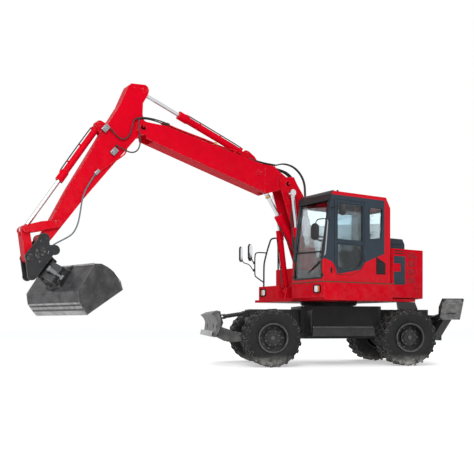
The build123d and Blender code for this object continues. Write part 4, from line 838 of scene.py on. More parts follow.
sides = [(front(z, out), z) for z, out in ((1600, 8), (1900, 9), (3050, 9), (3050, -2), (1900, -2), (1600, -2))]
rails = [plate(sides, y, y + 30, 2) for y in (272, 1093)]
rails += [plate([(front(z, 9), z), (front(z + 34, 9), z + 34), (front(z + 34, -2), z + 34), (front(z, -2), z)], 280, 1115, 2) for z in (1590, 3016)]
rails.append(bar((front(2102, 2), 270, 2102), (front(2076, 2), 1125, 2076), 13, 12))
make("windscreen_frame", "upper", UPPER, rails, "dark_plastic", SEAL_RUBBER)
visor = [(792, 3164), (836, 3177), (893, 3112), (front(3000, 26), 2996), (front(3000, 12), 2992), (front(3090, 8), 3094), (832, 3166)]
make("roof_visor", "upper", UPPER, [plate(visor, 222, 1173, 5)], "dark_plastic")
blade_ends = [(front(z, -5), y, z) for y, z in ((720, 1712), (940, 1852))]
wiper = [bar((front(1753, -1), 784, 1753), (front(1885, 12), 1033, 1885), 7), bar(*blade_ends, 9)]
wiper.append(bar((front(1885, -16), 1033, 1885), (front(1885, 18), 1033, 1885), 20))
make("wiper", "upper", UPPER, wiper, "dark_plastic")
print("visor reaches", round(front(3000, 26)))

# %% [markdown]
# Grips and mirrors: a pale grip runs up the left front pillar, one mirror hangs on a bent tube in front
# of it and one stands out beside the roof. Right of the boom a rail carries two more on a loop of tube.
# A mirror is a shallow case with a bright plate, turned halfway between the operator and straight back.

# %% Mirrors and rails
GRIP_GREY = weathered("pale grip", (0.33, 0.35, 0.36), 0.08, roughness=0.5, grain=(200.0, 0.0005))
MIRROR_PLATE = weathered("mirror plate", (0.72, 0.74, 0.76), 0.02, roughness=0.06, metallic=1.0)


def mirror(place, width, height, heading):
    """A mirror's case and its plate, with the plate facing a heading."""
    turn = Matrix.Translation(place) @ Matrix.Rotation(radians(heading - 90), 4, "Z")
    cut = min(width, height) * 0.3
    case = plate(corners(width, height, cut), -24, 14, 7)
    glass_plate = plate(corners(width - 16, height - 16, cut - 4), 13, 17)
    return placed(case, turn), placed(glass_plate, turn)


strip = pipe([(966, 1172, 2640), (968, 1192, 2620), (976, 1192, 2540), (1018, 1192, 2110), (1028, 1192, 2030), (1030, 1172, 2005)], 11)
make("pillar_grip", "upper", UPPER, [strip], "dark_plastic", GRIP_GREY)
tubes = [pipe([(912, 1168, 2640), (912, 1215, 2640), (1050, 1228, 2636), (1200, 1244, 2624), (1296, 1254, 2570), (1300, 1255, 2440)], 10)]
tubes.append(pipe([(876, 1168, 2850), (870, 1260, 2860), (815, 1395, 2880), (805, 1400, 2800)], 8))
low_case, low_plate = mirror((1300, 1255, 2388), 150, 290, 205)
high_case, high_plate = mirror((805, 1400, 2799), 120, 200, 215)
make("left_mirrors", "upper", UPPER, [*tubes, low_case, high_case], "dark_plastic")
make("left_mirror_plates", "upper", UPPER, [low_plate, high_plate], "dark_plastic", MIRROR_PLATE)

rail = [(772, -1175, 1536), (770, -1175, 1600), (768, -1175, 1960), (755, -1175, 2060), (690, -1175, 2280), (610, -1175, 2500)]
rail += [(580, -1175, 2545), (480, -1175, 2570), (424, -1175, 2560), (410, -1175, 2440), (410, -1175, 1900)]
loop = [(710, -1175, 2245), (860, -1175, 2247), (960, -1175, 2235), (988, -1176, 2180), (990, -1176, 2018), (990, -1176, 1790), (975, -1176, 1740), (776, -1175, 1636)]
arms = [pipe(rail, 17, 4), pipe(loop, 13), pipe([(990, -1178, 1873), (1040, -1184, 1880), (1083, -1186, 1960), (1160, -1186, 2000), (1251, -1186, 2012), (1300, -1190, 2090), (1306, -1190, 2160)], 10)]
arms += [bar((990, -1178, 2026), (1040, -1186, 2060), 12), bar((1035, -1186, 2050), (1080, -1190, 2180), 10), bar((1008, -1184, 1850), (1008, -1184, 1900), 24)]
arms.append(bar((1000, -1184, 2000), (1000, -1184, 2056), 24))
first_case, first_plate = mirror((1083, -1200, 2235), 170, 345, 124)
second_case, second_plate = mirror((1304, -1200, 2188), 150, 310, 130)
railing = make("rail_and_mirrors", "upper", UPPER, [*arms, first_case, second_case], "dark_plastic")
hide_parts("handrail")
make("right_mirror_plates", "upper", UPPER, [first_plate, second_plate], "dark_plastic", MIRROR_PLATE)
print("four mirrors")

# %% [markdown]
# ## Panels and lamps of the body
# The covers carry the openings that an engine needs: stamped louvres in the service doors, a row of
# holes along the hood and a vent in the cab's rear post. The near-black blocks in these openings and in
# the door's grip recess are painted shade. A dark panel bolted over the door hides a seam.

# %% Covers' panels, louvres and holes
# A near-black finish for painted shade in openings and recesses.
SHADOW = weathered("painted shade in openings", (0.004, 0.004, 0.005), 0.1, roughness=0.9)
# A dark olive for painted shade in the seam under the cab.
OLIVE = weathered("painted seam shade", (0.045, 0.043, 0.018), 0.15, roughness=0.7)
L_PANEL = [(-625, 2077), (-922, 2077), (-922, 1532), (-625, 1532), (-625, 1780), (-800, 1780), (-800, 1935), (-625, 1935)]
for side, hand in HANDS.items():
    skin = hand * 1199
    panel = plate(L_PANEL, min(skin, skin + hand * 5), max(skin, skin + hand * 5), 1)
    studs = [bolt((x, skin + hand * 4, z), (x, skin + hand * 9, z), 8) for x, z in ((-650, 2050), (-897, 2050), (-897, 1560), (-650, 1560), (-897, 1800))]
    make(f"door_panel_{side}", f"service_door_{side}", UPPER, [panel, *studs], "cab_paint", CAB_SLATE)
    holes, lips = [], []
    for row in range(4):
        for column in range(6):
            x, z = -1085 + (column - 2.5) * 34, 1860 + (row - 1.5) * 160
            holes.append(placed(block((x - 7, -2.5, z - 60), (x + 7, 2.5, z + 60), 2), Matrix.Translation((0, skin, 0))))
            lips.append(bar((x + 10, skin - hand, z - 62), (x + 10, skin - hand, z + 62), 4.5, 8))
    holes += [block((-905, skin - 2.5, z - 11), (-635, skin + 2.5, z + 11), 2) for z in (2175, 2125)]
    # The louvre gaps and the two slots are dark blocks: painted shade.
    make(f"louvre_gap_shade_{side}", f"service_door_{side}", UPPER, holes, "dark_plastic", SHADOW)
    make(f"louvre_lips_{side}", f"service_door_{side}", UPPER, lips, "red_paint")
    hinges = [bar((-1212, hand * 1198, z), (-1212, hand * 1198, z + 90), 10) for z in (1420, 2020)]
    make(f"door_hinges_{side}", f"service_door_{side}", UPPER, hinges, "dark_plastic")
    row = [placed(block((x - 17, -2.5, 2329), (x + 17, 2.5, 2351), 5), Matrix.Translation((0, hand * 899.5, 0))) for x in range(-1096, -740, 58)]
    # Dark blocks along the hood: painted shade of its holes.
    make(f"hood_hole_shade_{side}", "engine_hood", UPPER, row, "dark_plastic", SHADOW)
vent = [(-430, 1712), (-205, 1712), (-205, 2030), (-430, 1925)]
slats = [plate([(-425, z), (-210, z), (-210, z + 12), (-425, z + 12)], 1168, 1176, 1) for z in range(1735, 1925, 34)]
# A dark plate behind the vent's slats: painted shade.
make("cab_vent", "upper", UPPER, [plate(vent, 1166, 1171.5, 1)], "dark_plastic", SHADOW)
make("cab_vent_slats", "upper", UPPER, [*slats, band(vent, 1166, 1176, 14)], "dark_plastic")
oval = turned([(0, 0), (24, 0), (24, 4), (18, 5), (0, 5)], 24)
grip = Matrix.Translation((868, 1168, 1745)) @ Matrix.Rotation(radians(-90), 4, "X") @ Matrix.Diagonal((1.0, 2.6, 1.0, 1.0))
# A dark oval in the door's grip recess: painted shade.
make("grip_recess_shade", "upper", UPPER, [placed(oval, grip)], "dark_plastic", SHADOW)
# A dark olive strip round the cab's base: painted shade of the seam.
seam = [block((-598, 1197, 1527), (1062, 1203, 1545), 2), block((1058, 225, 1527), (1064, 1203, 1545), 2), block((-598, 222, 1527), (1062, 226, 1545), 2)]
make("cab_base_seam", "upper", UPPER, seam, "dark_plastic", OLIVE)
print("louvres, holes, vent and seam")

# %% [markdown]
# Lamps: each front lamp sits in a raised bezel, clear towards the middle and amber to the outside.

# %% Lamps
def lamp_unit(name, place, amber_side):
    """A front lamp: its bezel, its clear lens and its amber lens."""
    x, y, z = place
    bezel = [facing_front(band(corners(190, 150, 22), -2, 22, 18), (x, y, z)), facing_front(plate(corners(180, 140, 20), -2, 2), (x, y, z))]
    make(f"{name}_bezel", "upper", UPPER, bezel, "dark_plastic")
    make(f"{name}_clear", "upper", UPPER, [facing_front(plate(corners(92, 112, 14), 2, 17, 5), (x, y - amber_side * 28, z))], "window_glass", CLEAR_LENS)
    make(f"{name}_amber", "upper", UPPER, [facing_front(plate(corners(50, 112, 14), 2, 17, 5), (x, y + amber_side * 46, z))], "window_glass", AMBER_LENS)


lamp_unit("left_lamp", (1060, 1010, 1410), 1)
lamp_unit("right_lamp", (900, -995, 1410), -1)
cone = placed(turned([(0, 0), (34, 0), (30, 10), (10, 50), (0, 52)], 24), Matrix.Translation((640, 1060, 3164)))
make("roof_cone", "upper", UPPER, [cone], "dark_plastic")
print("two front lamps")

# %% [markdown]
# ## Boom fittings
# Each pin of the linkage is closed by a cap, and a keeper plate with a bolt stops the pin from turning.
# They repeat at every joint, so one helper draws a pair of them from a pin's place and half length.

# %% Pin caps
def pin_caps(name, body, base, pin, inner, half, radius, slot="boom_paint", keeper=True):
    """A cap, keeper and bolt at both ends of a pin, seen from the sides."""
    x, z = pin
    shapes = []
    for hand in (1, -1):
        seat = Matrix.Translation((x, hand * inner, z)) @ Matrix.Rotation(radians(-90 * hand), 4, "X")
        depth = half - inner
        shapes.append(placed(turned([(0, 0), (radius, 0), (radius, depth - 3), (radius - 4, depth), (0, depth)], 28), seat))
        if keeper:
            shapes.append(placed(block((-14, -radius - 26, 0), (14, 4, depth + 6), 2), seat))
            shapes.append(placed(bolt((0, -radius - 12, depth + 5), (0, -radius - 12, depth + 15), 8), seat))
    make(name, body, base, shapes, slot, LINK_BLACK if slot == "worn_steel" else None)


pin_caps("boom_foot_pin", "upper", BOOM_PLANE, (400, 1750), 205, 213, 52)
pin_caps("knuckle_pin", "lower_boom", LOWER_BOOM, (1800, 0), 160, 174, 58)
pin_caps("adjusting_base_pin", "lower_boom", LOWER_BOOM, (330, -60), 150, 162, 46)
pin_caps("arm_pin", "upper_boom", UPPER_BOOM, (3018, 0), 156, 174, 54)
pin_caps("arm_ram_base_pin", "upper_boom", UPPER_BOOM, (934, 283), 62, 74, 40)
pin_caps("arm_ram_top_pin", "arm", ARM, (-512.6, 348.6), 112, 124, 42)
pin_caps("bucket_ram_base_pin", "arm", ARM, (487.5, 517), 62, 74, 40)
pin_caps("rocker_pin", "arm", ARM, (2233, 0), 172, 184, 42)
pin_caps("linkage_pin", "rocker", ROCKER, (492, 0), 172, 184, 42)
pin_caps("coupler_pin", "coupler", ARM, (2554, 0), 144, 152, 44, "worn_steel", keeper=False)
pin_caps("tool_pin", "coupler", COUPLER, (363, 0), 150, 166, 44, "worn_steel")

# %% [markdown]
# A ram's gland is a thick collar screwed to the barrel's end by a ring of bolts, and oil enters through a
# port block at each end of the barrel, joined by a thin steel line that is clipped along it.

# %% Glands, ports and lines of the rams
def across_x(shape, place):
    """A turned shape laid along X, from a place forward."""
    return placed(shape, Matrix.Translation(place) @ Matrix.Rotation(radians(90), 4, "Y"))


def ram_fittings(name, body, base, radius, length, middle=0.0, above=1):
    """The gland, its bolts, the port blocks and the oil line of one ram."""
    collar = [(radius - 6, 0), (radius + 2, 0), (radius + 12, 24), (radius + 12, 190), (radius + 8, 196), (radius - 6, 196), (radius - 6, 0)]
    shapes = [across_x(turned(collar, 32), (length - 200, middle, 0))]
    for index in range(8):
        y, z = (radius + 3) * cos(index * pi / 4), (radius + 3) * sin(index * pi / 4)
        shapes.append(bolt((length - 5, middle + y, z), (length + 5, middle + y, z), 6))
    top = above * (radius + 22)
    for x in (110, length - 150):
        shapes.append(block((x - 24, middle - 22, min(above * (radius - 8), top)), (x + 24, middle + 22, max(above * (radius - 8), top)), 4))
    line = [(112, middle, top), (190, middle, top + above * 6), (length - 290, middle, top + above * 4), (length - 152, middle, top)]
    make(f"{name}_line", body, base, [pipe(line, 10)], "dark_plastic", HOSE_RUBBER)
    shapes += [block((x - 12, middle - 15, min(above * (radius - 4), top)), (x + 12, middle + 15, max(above * (radius - 4), top)), 3) for x in (length * 0.4, length * 0.7)]
    make(name, body, base, shapes, "ram_paint")


ADJUSTING_RAM, adjusting_length = aimed(LOWER_BOOM, (330, -60), UPPER_BOOM, (380, -230))
for side, hand in HANDS.items():
    ram_fittings(f"lift_ram_{side}", "lift_barrels", LIFT_RAM, 58, 1200, hand * 280, -1)
ram_fittings("arm_ram", "arm_barrel", ARM_RAM, 62, 1459)
ram_fittings("bucket_ram", "bucket_barrel", BUCKET_RAM, 52, 1170)
ram_fittings("adjusting_ram", "adjusting_barrel", ADJUSTING_RAM, 72, 990, 0.0, -1)
BRASS = weathered("brass", (0.55, 0.36, 0.10), 0.1, roughness=0.3, metallic=1.0)
ring = turned([(38, 0), (46, 0), (50, 6), (50, 34), (46, 40), (38, 40), (38, 0)], 32)
make("adjusting_rod_collar", "adjusting_rod", ADJUSTING_RAM, [across_x(ring, (adjusting_length - 150, 0, 0))], "chrome_rod", BRASS)
print("rams fitted, adjusting ram", round(adjusting_length))

# %% [markdown]
# ## Hoses and pipes
# Steel pipes run along the boom and rubber hoses cross its joints in loose arcs. Every hose is held at
# both ends, so it is drawn through the places seen in the photograph. Where one crosses a joint, each
# of its points is placed in the frame of the link it lies on, and the spline runs smoothly between them.

# %% Runs across the links
WORLD = Matrix.Scale(0.001, 4)


def run_of(*stretches):
    """The points of a hose in world millimetres, from stretches of side-view points in links' frames."""
    places = []
    for base, y, points in stretches:
        places += [base @ Vector((x, y, z)) * 1000 for x, z in points]
    return [tuple(place) for place in places]


def fitted(points, radius):
    """A hose with a crimped fitting at each end."""
    shapes = [pipe(points, radius)]
    for tip, inner in ((points[0], points[1]), (points[-1], points[-2])):
        run = (Vector(inner) - Vector(tip)).normalized()
        shapes.append(bar(tip, Vector(tip) + run * 46, radius + 4, 12))
    return shapes


def crossing(first, second, start, end):
    """The two bodies that a piece spans, with its end points in metres."""
    return first, second, tuple(start / 1000 for start in start), tuple(end / 1000 for end in end)


TIP_HOSE = run_of(
    (UPPER_BOOM, 138, [(2560, 226), (2679, 232), (2881, 212), (3040, 176)]),
    (ARM, 150, [(-1, 196), (114, 150), (254, 70), (414, 92), (459, 210), (440, 366)]),
)
UNDER_HOSE = run_of(
    (UPPER_BOOM, 120, [(2600, 206), (2860, 206), (3060, 150)]),
    (ARM, 162, [(-70, 156), (60, 60), (160, -70), (280, -160), (400, -180), (500, -110), (549, 40), (590, 134)]),
)
for index, points in enumerate((TIP_HOSE, UNDER_HOSE)):
    place = crossing("upper_boom", "arm", points[2], points[-4])
    make(f"arm_hose_{index + 1}", place, WORLD, fitted(points, 11), "dark_plastic", HOSE_RUBBER)
KNUCKLE_HOSES = [
    [(y, [(900, 214), (620, 230), (301, 290)], [(2200, -90), (2190, 130), (2040, 371), (1760, 482), (1464, 392), (1200, 300)]) for y in (96, 58)],
    [(y, [(820, 210), (520, 222), (198, 262)], [(2120, -10), (1990, 215), (1700, 330), (1455, 322), (1240, 292)]) for y in (18, -30, -76)],
]
for index, (y, high, low) in enumerate([hose for pair in KNUCKLE_HOSES for hose in pair]):
    points = run_of((UPPER_BOOM, y, high), (LOWER_BOOM, y * 0.9, low))
    place = crossing("upper_boom", "lower_boom", points[1], points[-2])
    make(f"knuckle_hose_{index + 1}", place, WORLD, fitted(points, 12), "dark_plastic", HOSE_RUBBER)
FRONT_HOSES = [run_of((LOWER_BOOM, y, [(1560, 60), (1230, -150), (912, -224), (640, -310), (470, -300), (380, -190)])) for y in (176, 200)]
make("lower_boom_hoses", "lower_boom", WORLD, [shape for points in FRONT_HOSES for shape in fitted(points, 10)], "dark_plastic", HOSE_RUBBER)
round_barrel = ((985, 24), (900, 27), (700, 34), (450, 41), (250, 45), (200, 45))
ram_hose = [(x, 280 + 69 * sin(radians(turn)), -69 * cos(radians(turn))) for x, turn in round_barrel]
make("lift_ram_hose", "lift_barrels", LIFT_RAM, fitted(ram_hose, 11), "dark_plastic", HOSE_RUBBER)
SLATE_HOSE = weathered("blue-grey hose", (0.10, 0.125, 0.145), 0.15, 20.0, roughness=0.5, grain=(500.0, 0.0005))
loose = run_of(
    (ARM, 132, [(1180, 70), (1470, 34), (1651, -33), (1865, -165), (2019, -245), (2180, -280), (2308, -243)]), (COUPLER, 136, [(-40, -170), (60, -150), (150, -180)])
)
make("loose_hose", crossing("arm", "coupler", loose[5], loose[-2]), WORLD, fitted(loose, 12), "dark_plastic", SLATE_HOSE)
print("hoses", 2 + 5 + 2 + 1 + 1)

# %% Boom and arm pipes, clamps and valves
pipes = []
for y in (44, -4, -52):
    pipes.append(pipe([(2640, y, 262), (2560, y, 256), (2394, y, 244), (1654, y, 262), (1503, y, 240), (1200, y, 272), (1051, y, 262), (900, y, 214)], 13))
for x in (2560, 2000, 1560, 1180):
    pipes.append(block((x - 20, -78, 176), (x + 20, 70, 246 if x > 1200 else 262), 6))
make("boom_pipes", "upper_boom", UPPER_BOOM, pipes, "boom_paint")
clamps = [block((x - 26, -86, 232), (x + 26, 78, 276), 8) for x in (2560, 1600)]
clamps += [bolt((x, y, 276), (x, y, 286), 9) for x in (2560, 1600) for y in (20, -28)]
make("pipe_clamps", "upper_boom", UPPER_BOOM, clamps, "chrome_rod", BRASS)
boss = [turned([(0, 0), (60, 0), (60, 12), (48, 18), (30, 18), (26, 12), (0, 12)], 32)]
seat = Matrix.Translation((660, 159, 10)) @ Matrix.Rotation(radians(-90), 4, "X")
edge = [placed(shape, seat) for shape in boss]
edge += [plate([(551, 154), (561, 154), (478, -300), (466, -300)], hand * 160 - 3, hand * 160 + 3, 1) for hand in (1, -1)]
edge.append(plate([(300, 224), (440, 218), (420, 284), (330, 292)], -60, 60, 6))
make("boom_boss_and_seams", "upper_boom", UPPER_BOOM, edge, "boom_paint")
arm_pipes = []
for y in (84, 104):
    arm_pipes.append(pipe([(560, y, 440), (700, y, 396), (1200, y, 300), (1680, y, 240), (2060, y, 158)], 11))
side_run = [(455, 130, -20), (534, 134, -70), (648, 132, -56), (760, 130, -30), (1180, 130, 66)]
arm_pipes.append(pipe(side_run, 12))
arm_pipes += [block((x - 14, 70, z - 30), (x + 14, 114, z + 14), 4) for x, z in ((700, 392), (1200, 298), (1640, 246))]
make("arm_pipes", "arm", ARM, arm_pipes, "boom_paint")
valves = [block((430, 116, 380), (560, 168, 470), 8), block((610, 116, 40), (740, 160, 130), 8), block((1090, 116, 40), (1190, 148, 96), 6)]
valves += [bolt((x, 168, z), (x, 184, z), 12) for x, z in ((462, 404), (528, 404), (462, 446), (528, 446))]
valves += [bolt((x, 160, z), (x, 174, z), 11) for x, z in ((640, 66), (710, 66), (640, 104), (710, 104))]
make("valve_blocks", "arm", ARM, valves, "chrome_rod", weathered("zinced valve", (0.30, 0.31, 0.33), 0.2, 20.0, roughness=0.35, metallic=0.8))
print("pipes and valves")

# %% [markdown]
# ## Coupler, tilting head and bucket
# Between arm and bucket sits a coupler that tips the bucket sideways and turns it. Two short cylinders
# on its sides do the tipping, and a round cover closes the worm drive. The bucket itself is welded from
# plates: a lip, side cutters and wear strips stand proud of its shell and are rubbed to bright steel.

# %% Covers, tilt cylinders and bucket trim
covers = []
for hand in (1, -1):
    seat = Matrix.Translation((190, hand * 148, -70)) @ Matrix.Rotation(radians(-90 * hand), 4, "X")
    covers.append(placed(turned([(0, 0), (78, 0), (78, 8), (70, 14), (50, 14), (46, 9), (20, 9), (18, 16), (0, 16)], 36), seat))
    for index in range(6):
        x, z = 62 * cos(index * pi / 3), 62 * sin(index * pi / 3)
        covers.append(bolt((190 + x, hand * 160, -70 + z), (190 + x, hand * 172, -70 + z), 8))
    covers += [bolt((x, hand * 149, z), (x, hand * 160, z), 10) for x, z in ((60, 20), (320, -60), (330, -150), (70, -120))]
make("coupler_covers", "coupler", COUPLER, covers, "worn_steel", LINK_BLACK)
light_plate = plate([(230, -30), (300, -40), (310, -110), (236, -104)], 150, 155, 1)
make("coupler_plate", "coupler", COUPLER, [light_plate], "worn_steel")
tilters = []
for hand in (1, -1):
    start, end = Vector((0, hand * 150, 20)), Vector((0, hand * 235, -190))
    run = (end - start).normalized()
    tilters += [bar(start, start + run * 130, 34, 20), bar(start + run * 130, end, 19, 16), bar((-40, hand * 235, -192), (40, hand * 235, -192), 24, 16)]
    tilters.append(bar((-40, hand * 150, 24), (40, hand * 150, 24), 26, 16))
make("tilt_cylinders", "tilt_head", TILT, tilters, "worn_steel", weathered("grey ram", (0.16, 0.165, 0.17), 0.2, roughness=0.4, rub_width=0.004))
low, high = (Vector(corner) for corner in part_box("tilt_head"))
print("tilt head", [round(v, 3) for v in low], [round(v, 3) for v in high])

# %% [markdown]
# The bucket is a wide shell for ditches. Strips along its edge and back take the wear and are rubbed
# bright, its end plates have a raised rim, and two black bars carry the load down from the turntable.

# %% Bucket trim
BRIGHT_EDGE = weathered("rubbed edge", (0.34, 0.34, 0.335), 0.35, 9.0, roughness=0.42, metallic=0.4, rub_width=0.006, grain=(45.0, 0.002))
SHELL = [(-281, 10), (246, 4), (370, -110), (415, -250), (430, -335), (-259, -631), (-345, -520), (-385, -330), (-380, -200), (-350, -80)]
trim = [plate([(-252, -634), (-268, -640), (-352, -524), (-338, -518)], -752, 752, 3)]
trim.append(plate([(412, -254), (423, -256), (441, -344), (430, -338)], -754, 754, 3))
trim.append(plate([(389, -172), (397, -170), (412, -214), (404, -218)], -752, 752, 2))
trim.append(plate([(366, -112), (376, -104), (386, -136), (377, -140)], -752, 752, 2))
trim.append(plate([(-388, -372), (-397, -330), (-394, -250), (-382, -248), (-386, -330), (-379, -368)], -750, 750, 2))
trim.append(plate([(-284, 8), (-292, 16), (-262, 24), (-250, 14)], -750, 750, 2))
make("bucket_wear_strips", "bucket", BUCKET, trim, "worn_steel", BRIGHT_EDGE)
rims = [band(SHELL, 746, 764, 36), band(SHELL, -764, -746, 36)]
make("bucket_end_rims", "bucket", BUCKET, rims, "worn_steel", BRIGHT_EDGE)
# The thin plates on the bucket's ends are darker steel than its shell: painted shade of the end faces.
END_STEEL_PAINTED_SHADE = weathered("end steel darkened as painted shade", (0.050, 0.050, 0.051), 0.5, 5.0, roughness=0.5, metallic=0.3, rub_width=0.008, grain=(30.0, 0.003))
ends = [plate(grown_by(SHELL, -14), 749, 755), plate(grown_by(SHELL, -14), -755, -749)]
make("bucket_end_shade_plates", "bucket", BUCKET, ends, "worn_steel", END_STEEL_PAINTED_SHADE)
backs = [pipe([(-140, hand * 130, 40), (-230, hand * 150, 34), (-330, hand * 190, -50), (-396, hand * 230, -230), (-392, hand * 245, -330)], 24) for hand in (1, -1)]
backs += [plate([(-160, 8), (150, 8), (120, 120), (-120, 120)], hand * 205 - 9, hand * 205 + 9, 4) for hand in (1, -1)]
make("bucket_bars", "bucket", BUCKET, backs, "worn_steel", LINK_BLACK)
turntable = [turned([(178, 0), (214, 0), (214, 30), (206, 36), (178, 36), (178, 0)], 48)]
turntable += [bolt((196 * cos(i * pi / 10), 196 * sin(i * pi / 10), 36), (196 * cos(i * pi / 10), 196 * sin(i * pi / 10), 48), 9) for i in range(20)]
make("turntable_flange", "bucket", BUCKET @ Matrix.Translation((0, 0, 52)), turntable, "worn_steel", LINK_BLACK)
head = [(-300, 588), (-378, 607), (-430, 596), (-604, 420), (-612, 372), (-588, 322), (-540, 300), (-332, 252), (-300, 300)]
make("arm_head_plates", "arm", ARM, [plate(head, 66, 117.5, 4), plate(head, -117.5, -66, 4)], "boom_paint")
print("bucket trimmed")

# %% [markdown]
# ## Undercarriage fittings
# The blade is stiffened by ribs and ends in a bolted edge, the stabilisers stand on worn pads, and the
# steps have a tread. The slewing ring shows its bolts, and a curved plate guards the step's front end.

# %% Blade, pads, steps and ring
ribs = [plate([(2380, 552), (2330, 1010), (2290, 1010), (2236, 800), (2330, 560)], y - 10, y + 10, 3) for y in (-1236, -640, 640, 1236)]
make("blade_ribs", "blade", CHASSIS, ribs, "dark_chassis")
edges = [plate([(2446, 556), (2462, 572), (2436, 662), (2424, 658), (2440, 580)], -1248, 1248, 2)]
for index in range(12):
    y = -1155 + index * 210
    edges.append(placed(turned([(0, 0), (16, 0), (12, 8), (0, 9)], 12), pointing((2436, y, 620), (2470, y, 632))))
make("blade_edge", "blade", CHASSIS, edges, "worn_steel", BRIGHT_EDGE)
PAD_STEEL = weathered("worn pad", (0.135, 0.134, 0.130), 0.4, 9.0, roughness=0.6, rub_width=0.012, bare=(0.42, 0.41, 0.40, 1.0), grain=(35.0, 0.003))
for side, hand in HANDS.items():
    sole = CHASSIS @ Matrix.Translation((-2080, hand * 1167.6, 1051.2)) @ Matrix.Rotation(radians(-25 * hand), 4, "X")
    low, high = (0.5, 14) if hand > 0 else (-14, -0.5)
    pad = [plate(corners(414, 414, 60), low, high, 5), plate(corners(250, 250, 30), low * 1.5, high * 1.5, 4)]
    make(f"stabiliser_pad_{side}", f"leg_{side}", sole, pad, "worn_steel", PAD_STEEL)
treads = [block((x - 7, y, 719), (x + 7, y + 58, 729), 2) for x in range(-540, 600, 38) for y in (hand * 1095 - 29 for hand in (1, -1))]
treads += [block((x - 7, y, 719), (x + 7, y + 58, 729), 2) for x in range(-521, 600, 38) for y in (hand * 1160 - 29 for hand in (1, -1))]
make("step_treads", "chassis", CHASSIS, treads, "dark_chassis", BRIGHT_EDGE)
guard = [(596, 1046), (614, 1026), (626, 920), (630, 770), (618, 628), (602, 628), (614, 770), (616, 916), (604, 1016), (592, 1034)]
make("step_guards", "chassis", CHASSIS, [plate(guard, 640, 1150, 2), plate(guard, -1150, -640, 2)], "dark_chassis")
studs = []
for index in range(36):
    angle = index * pi / 18
    studs.append(bolt((530 * cos(angle), 530 * sin(angle), 1162), (530 * cos(angle), 530 * sin(angle), 1138), 11))
make("ring_bolts", "upper", UPPER, studs, "dark_chassis")
print("blade, pads, steps and ring")

# %% [markdown]
# ## Seat
# A padded seat is a shell of cloth pulled tight over foam. The plain form is remeshed into an even net,
# blown up by a short cloth simulation with its movement capped, and piped along its edges afterwards.

# %% Padded seat
def puffed(mesh, cap):
    """A mesh remeshed evenly, swollen by cloth pressure and smoothed, with its movement capped."""
    holder = bpy.data.objects.new("padding", mesh)
    bpy.context.scene.collection.objects.link(holder)
    net = holder.modifiers.new("net", "REMESH")
    net.mode = "VOXEL"
    net.voxel_size = 0.008
    depsgraph = bpy.context.evaluated_depsgraph_get()
    even = bpy.data.meshes.new_from_object(holder.evaluated_get(depsgraph))
    holder.modifiers.clear()
    holder.data = even
    start = [vertex.co.copy() for vertex in even.vertices]
    cloth = holder.modifiers.new("cloth", "CLOTH")
    cloth.settings.use_pressure = True
    cloth.settings.uniform_pressure_force = 4.0
    cloth.settings.effector_weights.gravity = 0.0
    cloth.point_cache.frame_start = 1
    cloth.point_cache.frame_end = 20
    for moment in range(1, 21):
        bpy.context.scene.frame_set(moment)
    swollen = bpy.data.meshes.new_from_object(holder.evaluated_get(bpy.context.evaluated_depsgraph_get()))
    holder.modifiers.clear()
    bpy.context.scene.frame_set(1)
    for vertex, first, moved in zip(even.vertices, start, swollen.vertices):
        shift = moved.co - first
        vertex.co = first + shift * min(1.0, cap / max(shift.length, 1e-9))
    smooth = holder.modifiers.new("smooth", "SUBSURF")
    smooth.levels = smooth.render_levels = 1
    finished = bpy.data.meshes.new_from_object(holder.evaluated_get(bpy.context.evaluated_depsgraph_get()))
    bpy.data.objects.remove(holder)
    return finished


CUSHION = [(-150, 1921), (196, 1921), (214, 2004), (190, 2010), (-150, 1990)]
BACKREST = [(-282, 1945), (-110, 1950), (-184, 2030), (-206, 2170), (-258, 2528), (-334, 2528), (-300, 2150)]
foam = bmesh.new()
for shape in (plate(CUSHION, 474, 921, 22), plate(BACKREST, 480, 915, 24)):
    loose = bpy.data.meshes.new("loose")
    shape.to_mesh(loose)
    foam.from_mesh(loose)
foam.transform(UPPER)
plain = bpy.data.meshes.new("foam")
foam.to_mesh(plain)
seat_mesh = puffed(plain, 0.012)
for polygon in seat_mesh.polygons:
    polygon.use_smooth = True
seat_mesh.materials.clear()
seat_mesh.materials.append(FINISH["seat_fabric"])
padded_seat = bpy.data.objects.new("padded_seat", seat_mesh)
bpy.context.scene.collection.objects.link(padded_seat)
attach(padded_seat, "upper")
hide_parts("seat")
piping = [pipe([(x, y, z) for x, z in ((-140, 2004), (190, 2021), (222, 2006), (204, 1930))], 4) for y in (508, 580, 815, 885)]
piping += [pipe([(x, y, z) for x, z in ((-172, 2020), (-197, 2180), (-246, 2526), (-296, 2544), (-340, 2528))], 4) for y in (504, 580, 815, 891)]
make("seat_piping", "upper", UPPER, piping, "seat_fabric")
print("seat of", len(seat_mesh.polygons), "faces")

# %% [markdown]
# ## Floor and light
# A studio floor that is almost white, a world that gives an even fill, and large soft lamps. The camera
# and the gloss see the world as pure white, but the machine is lit by its dimmer strength.

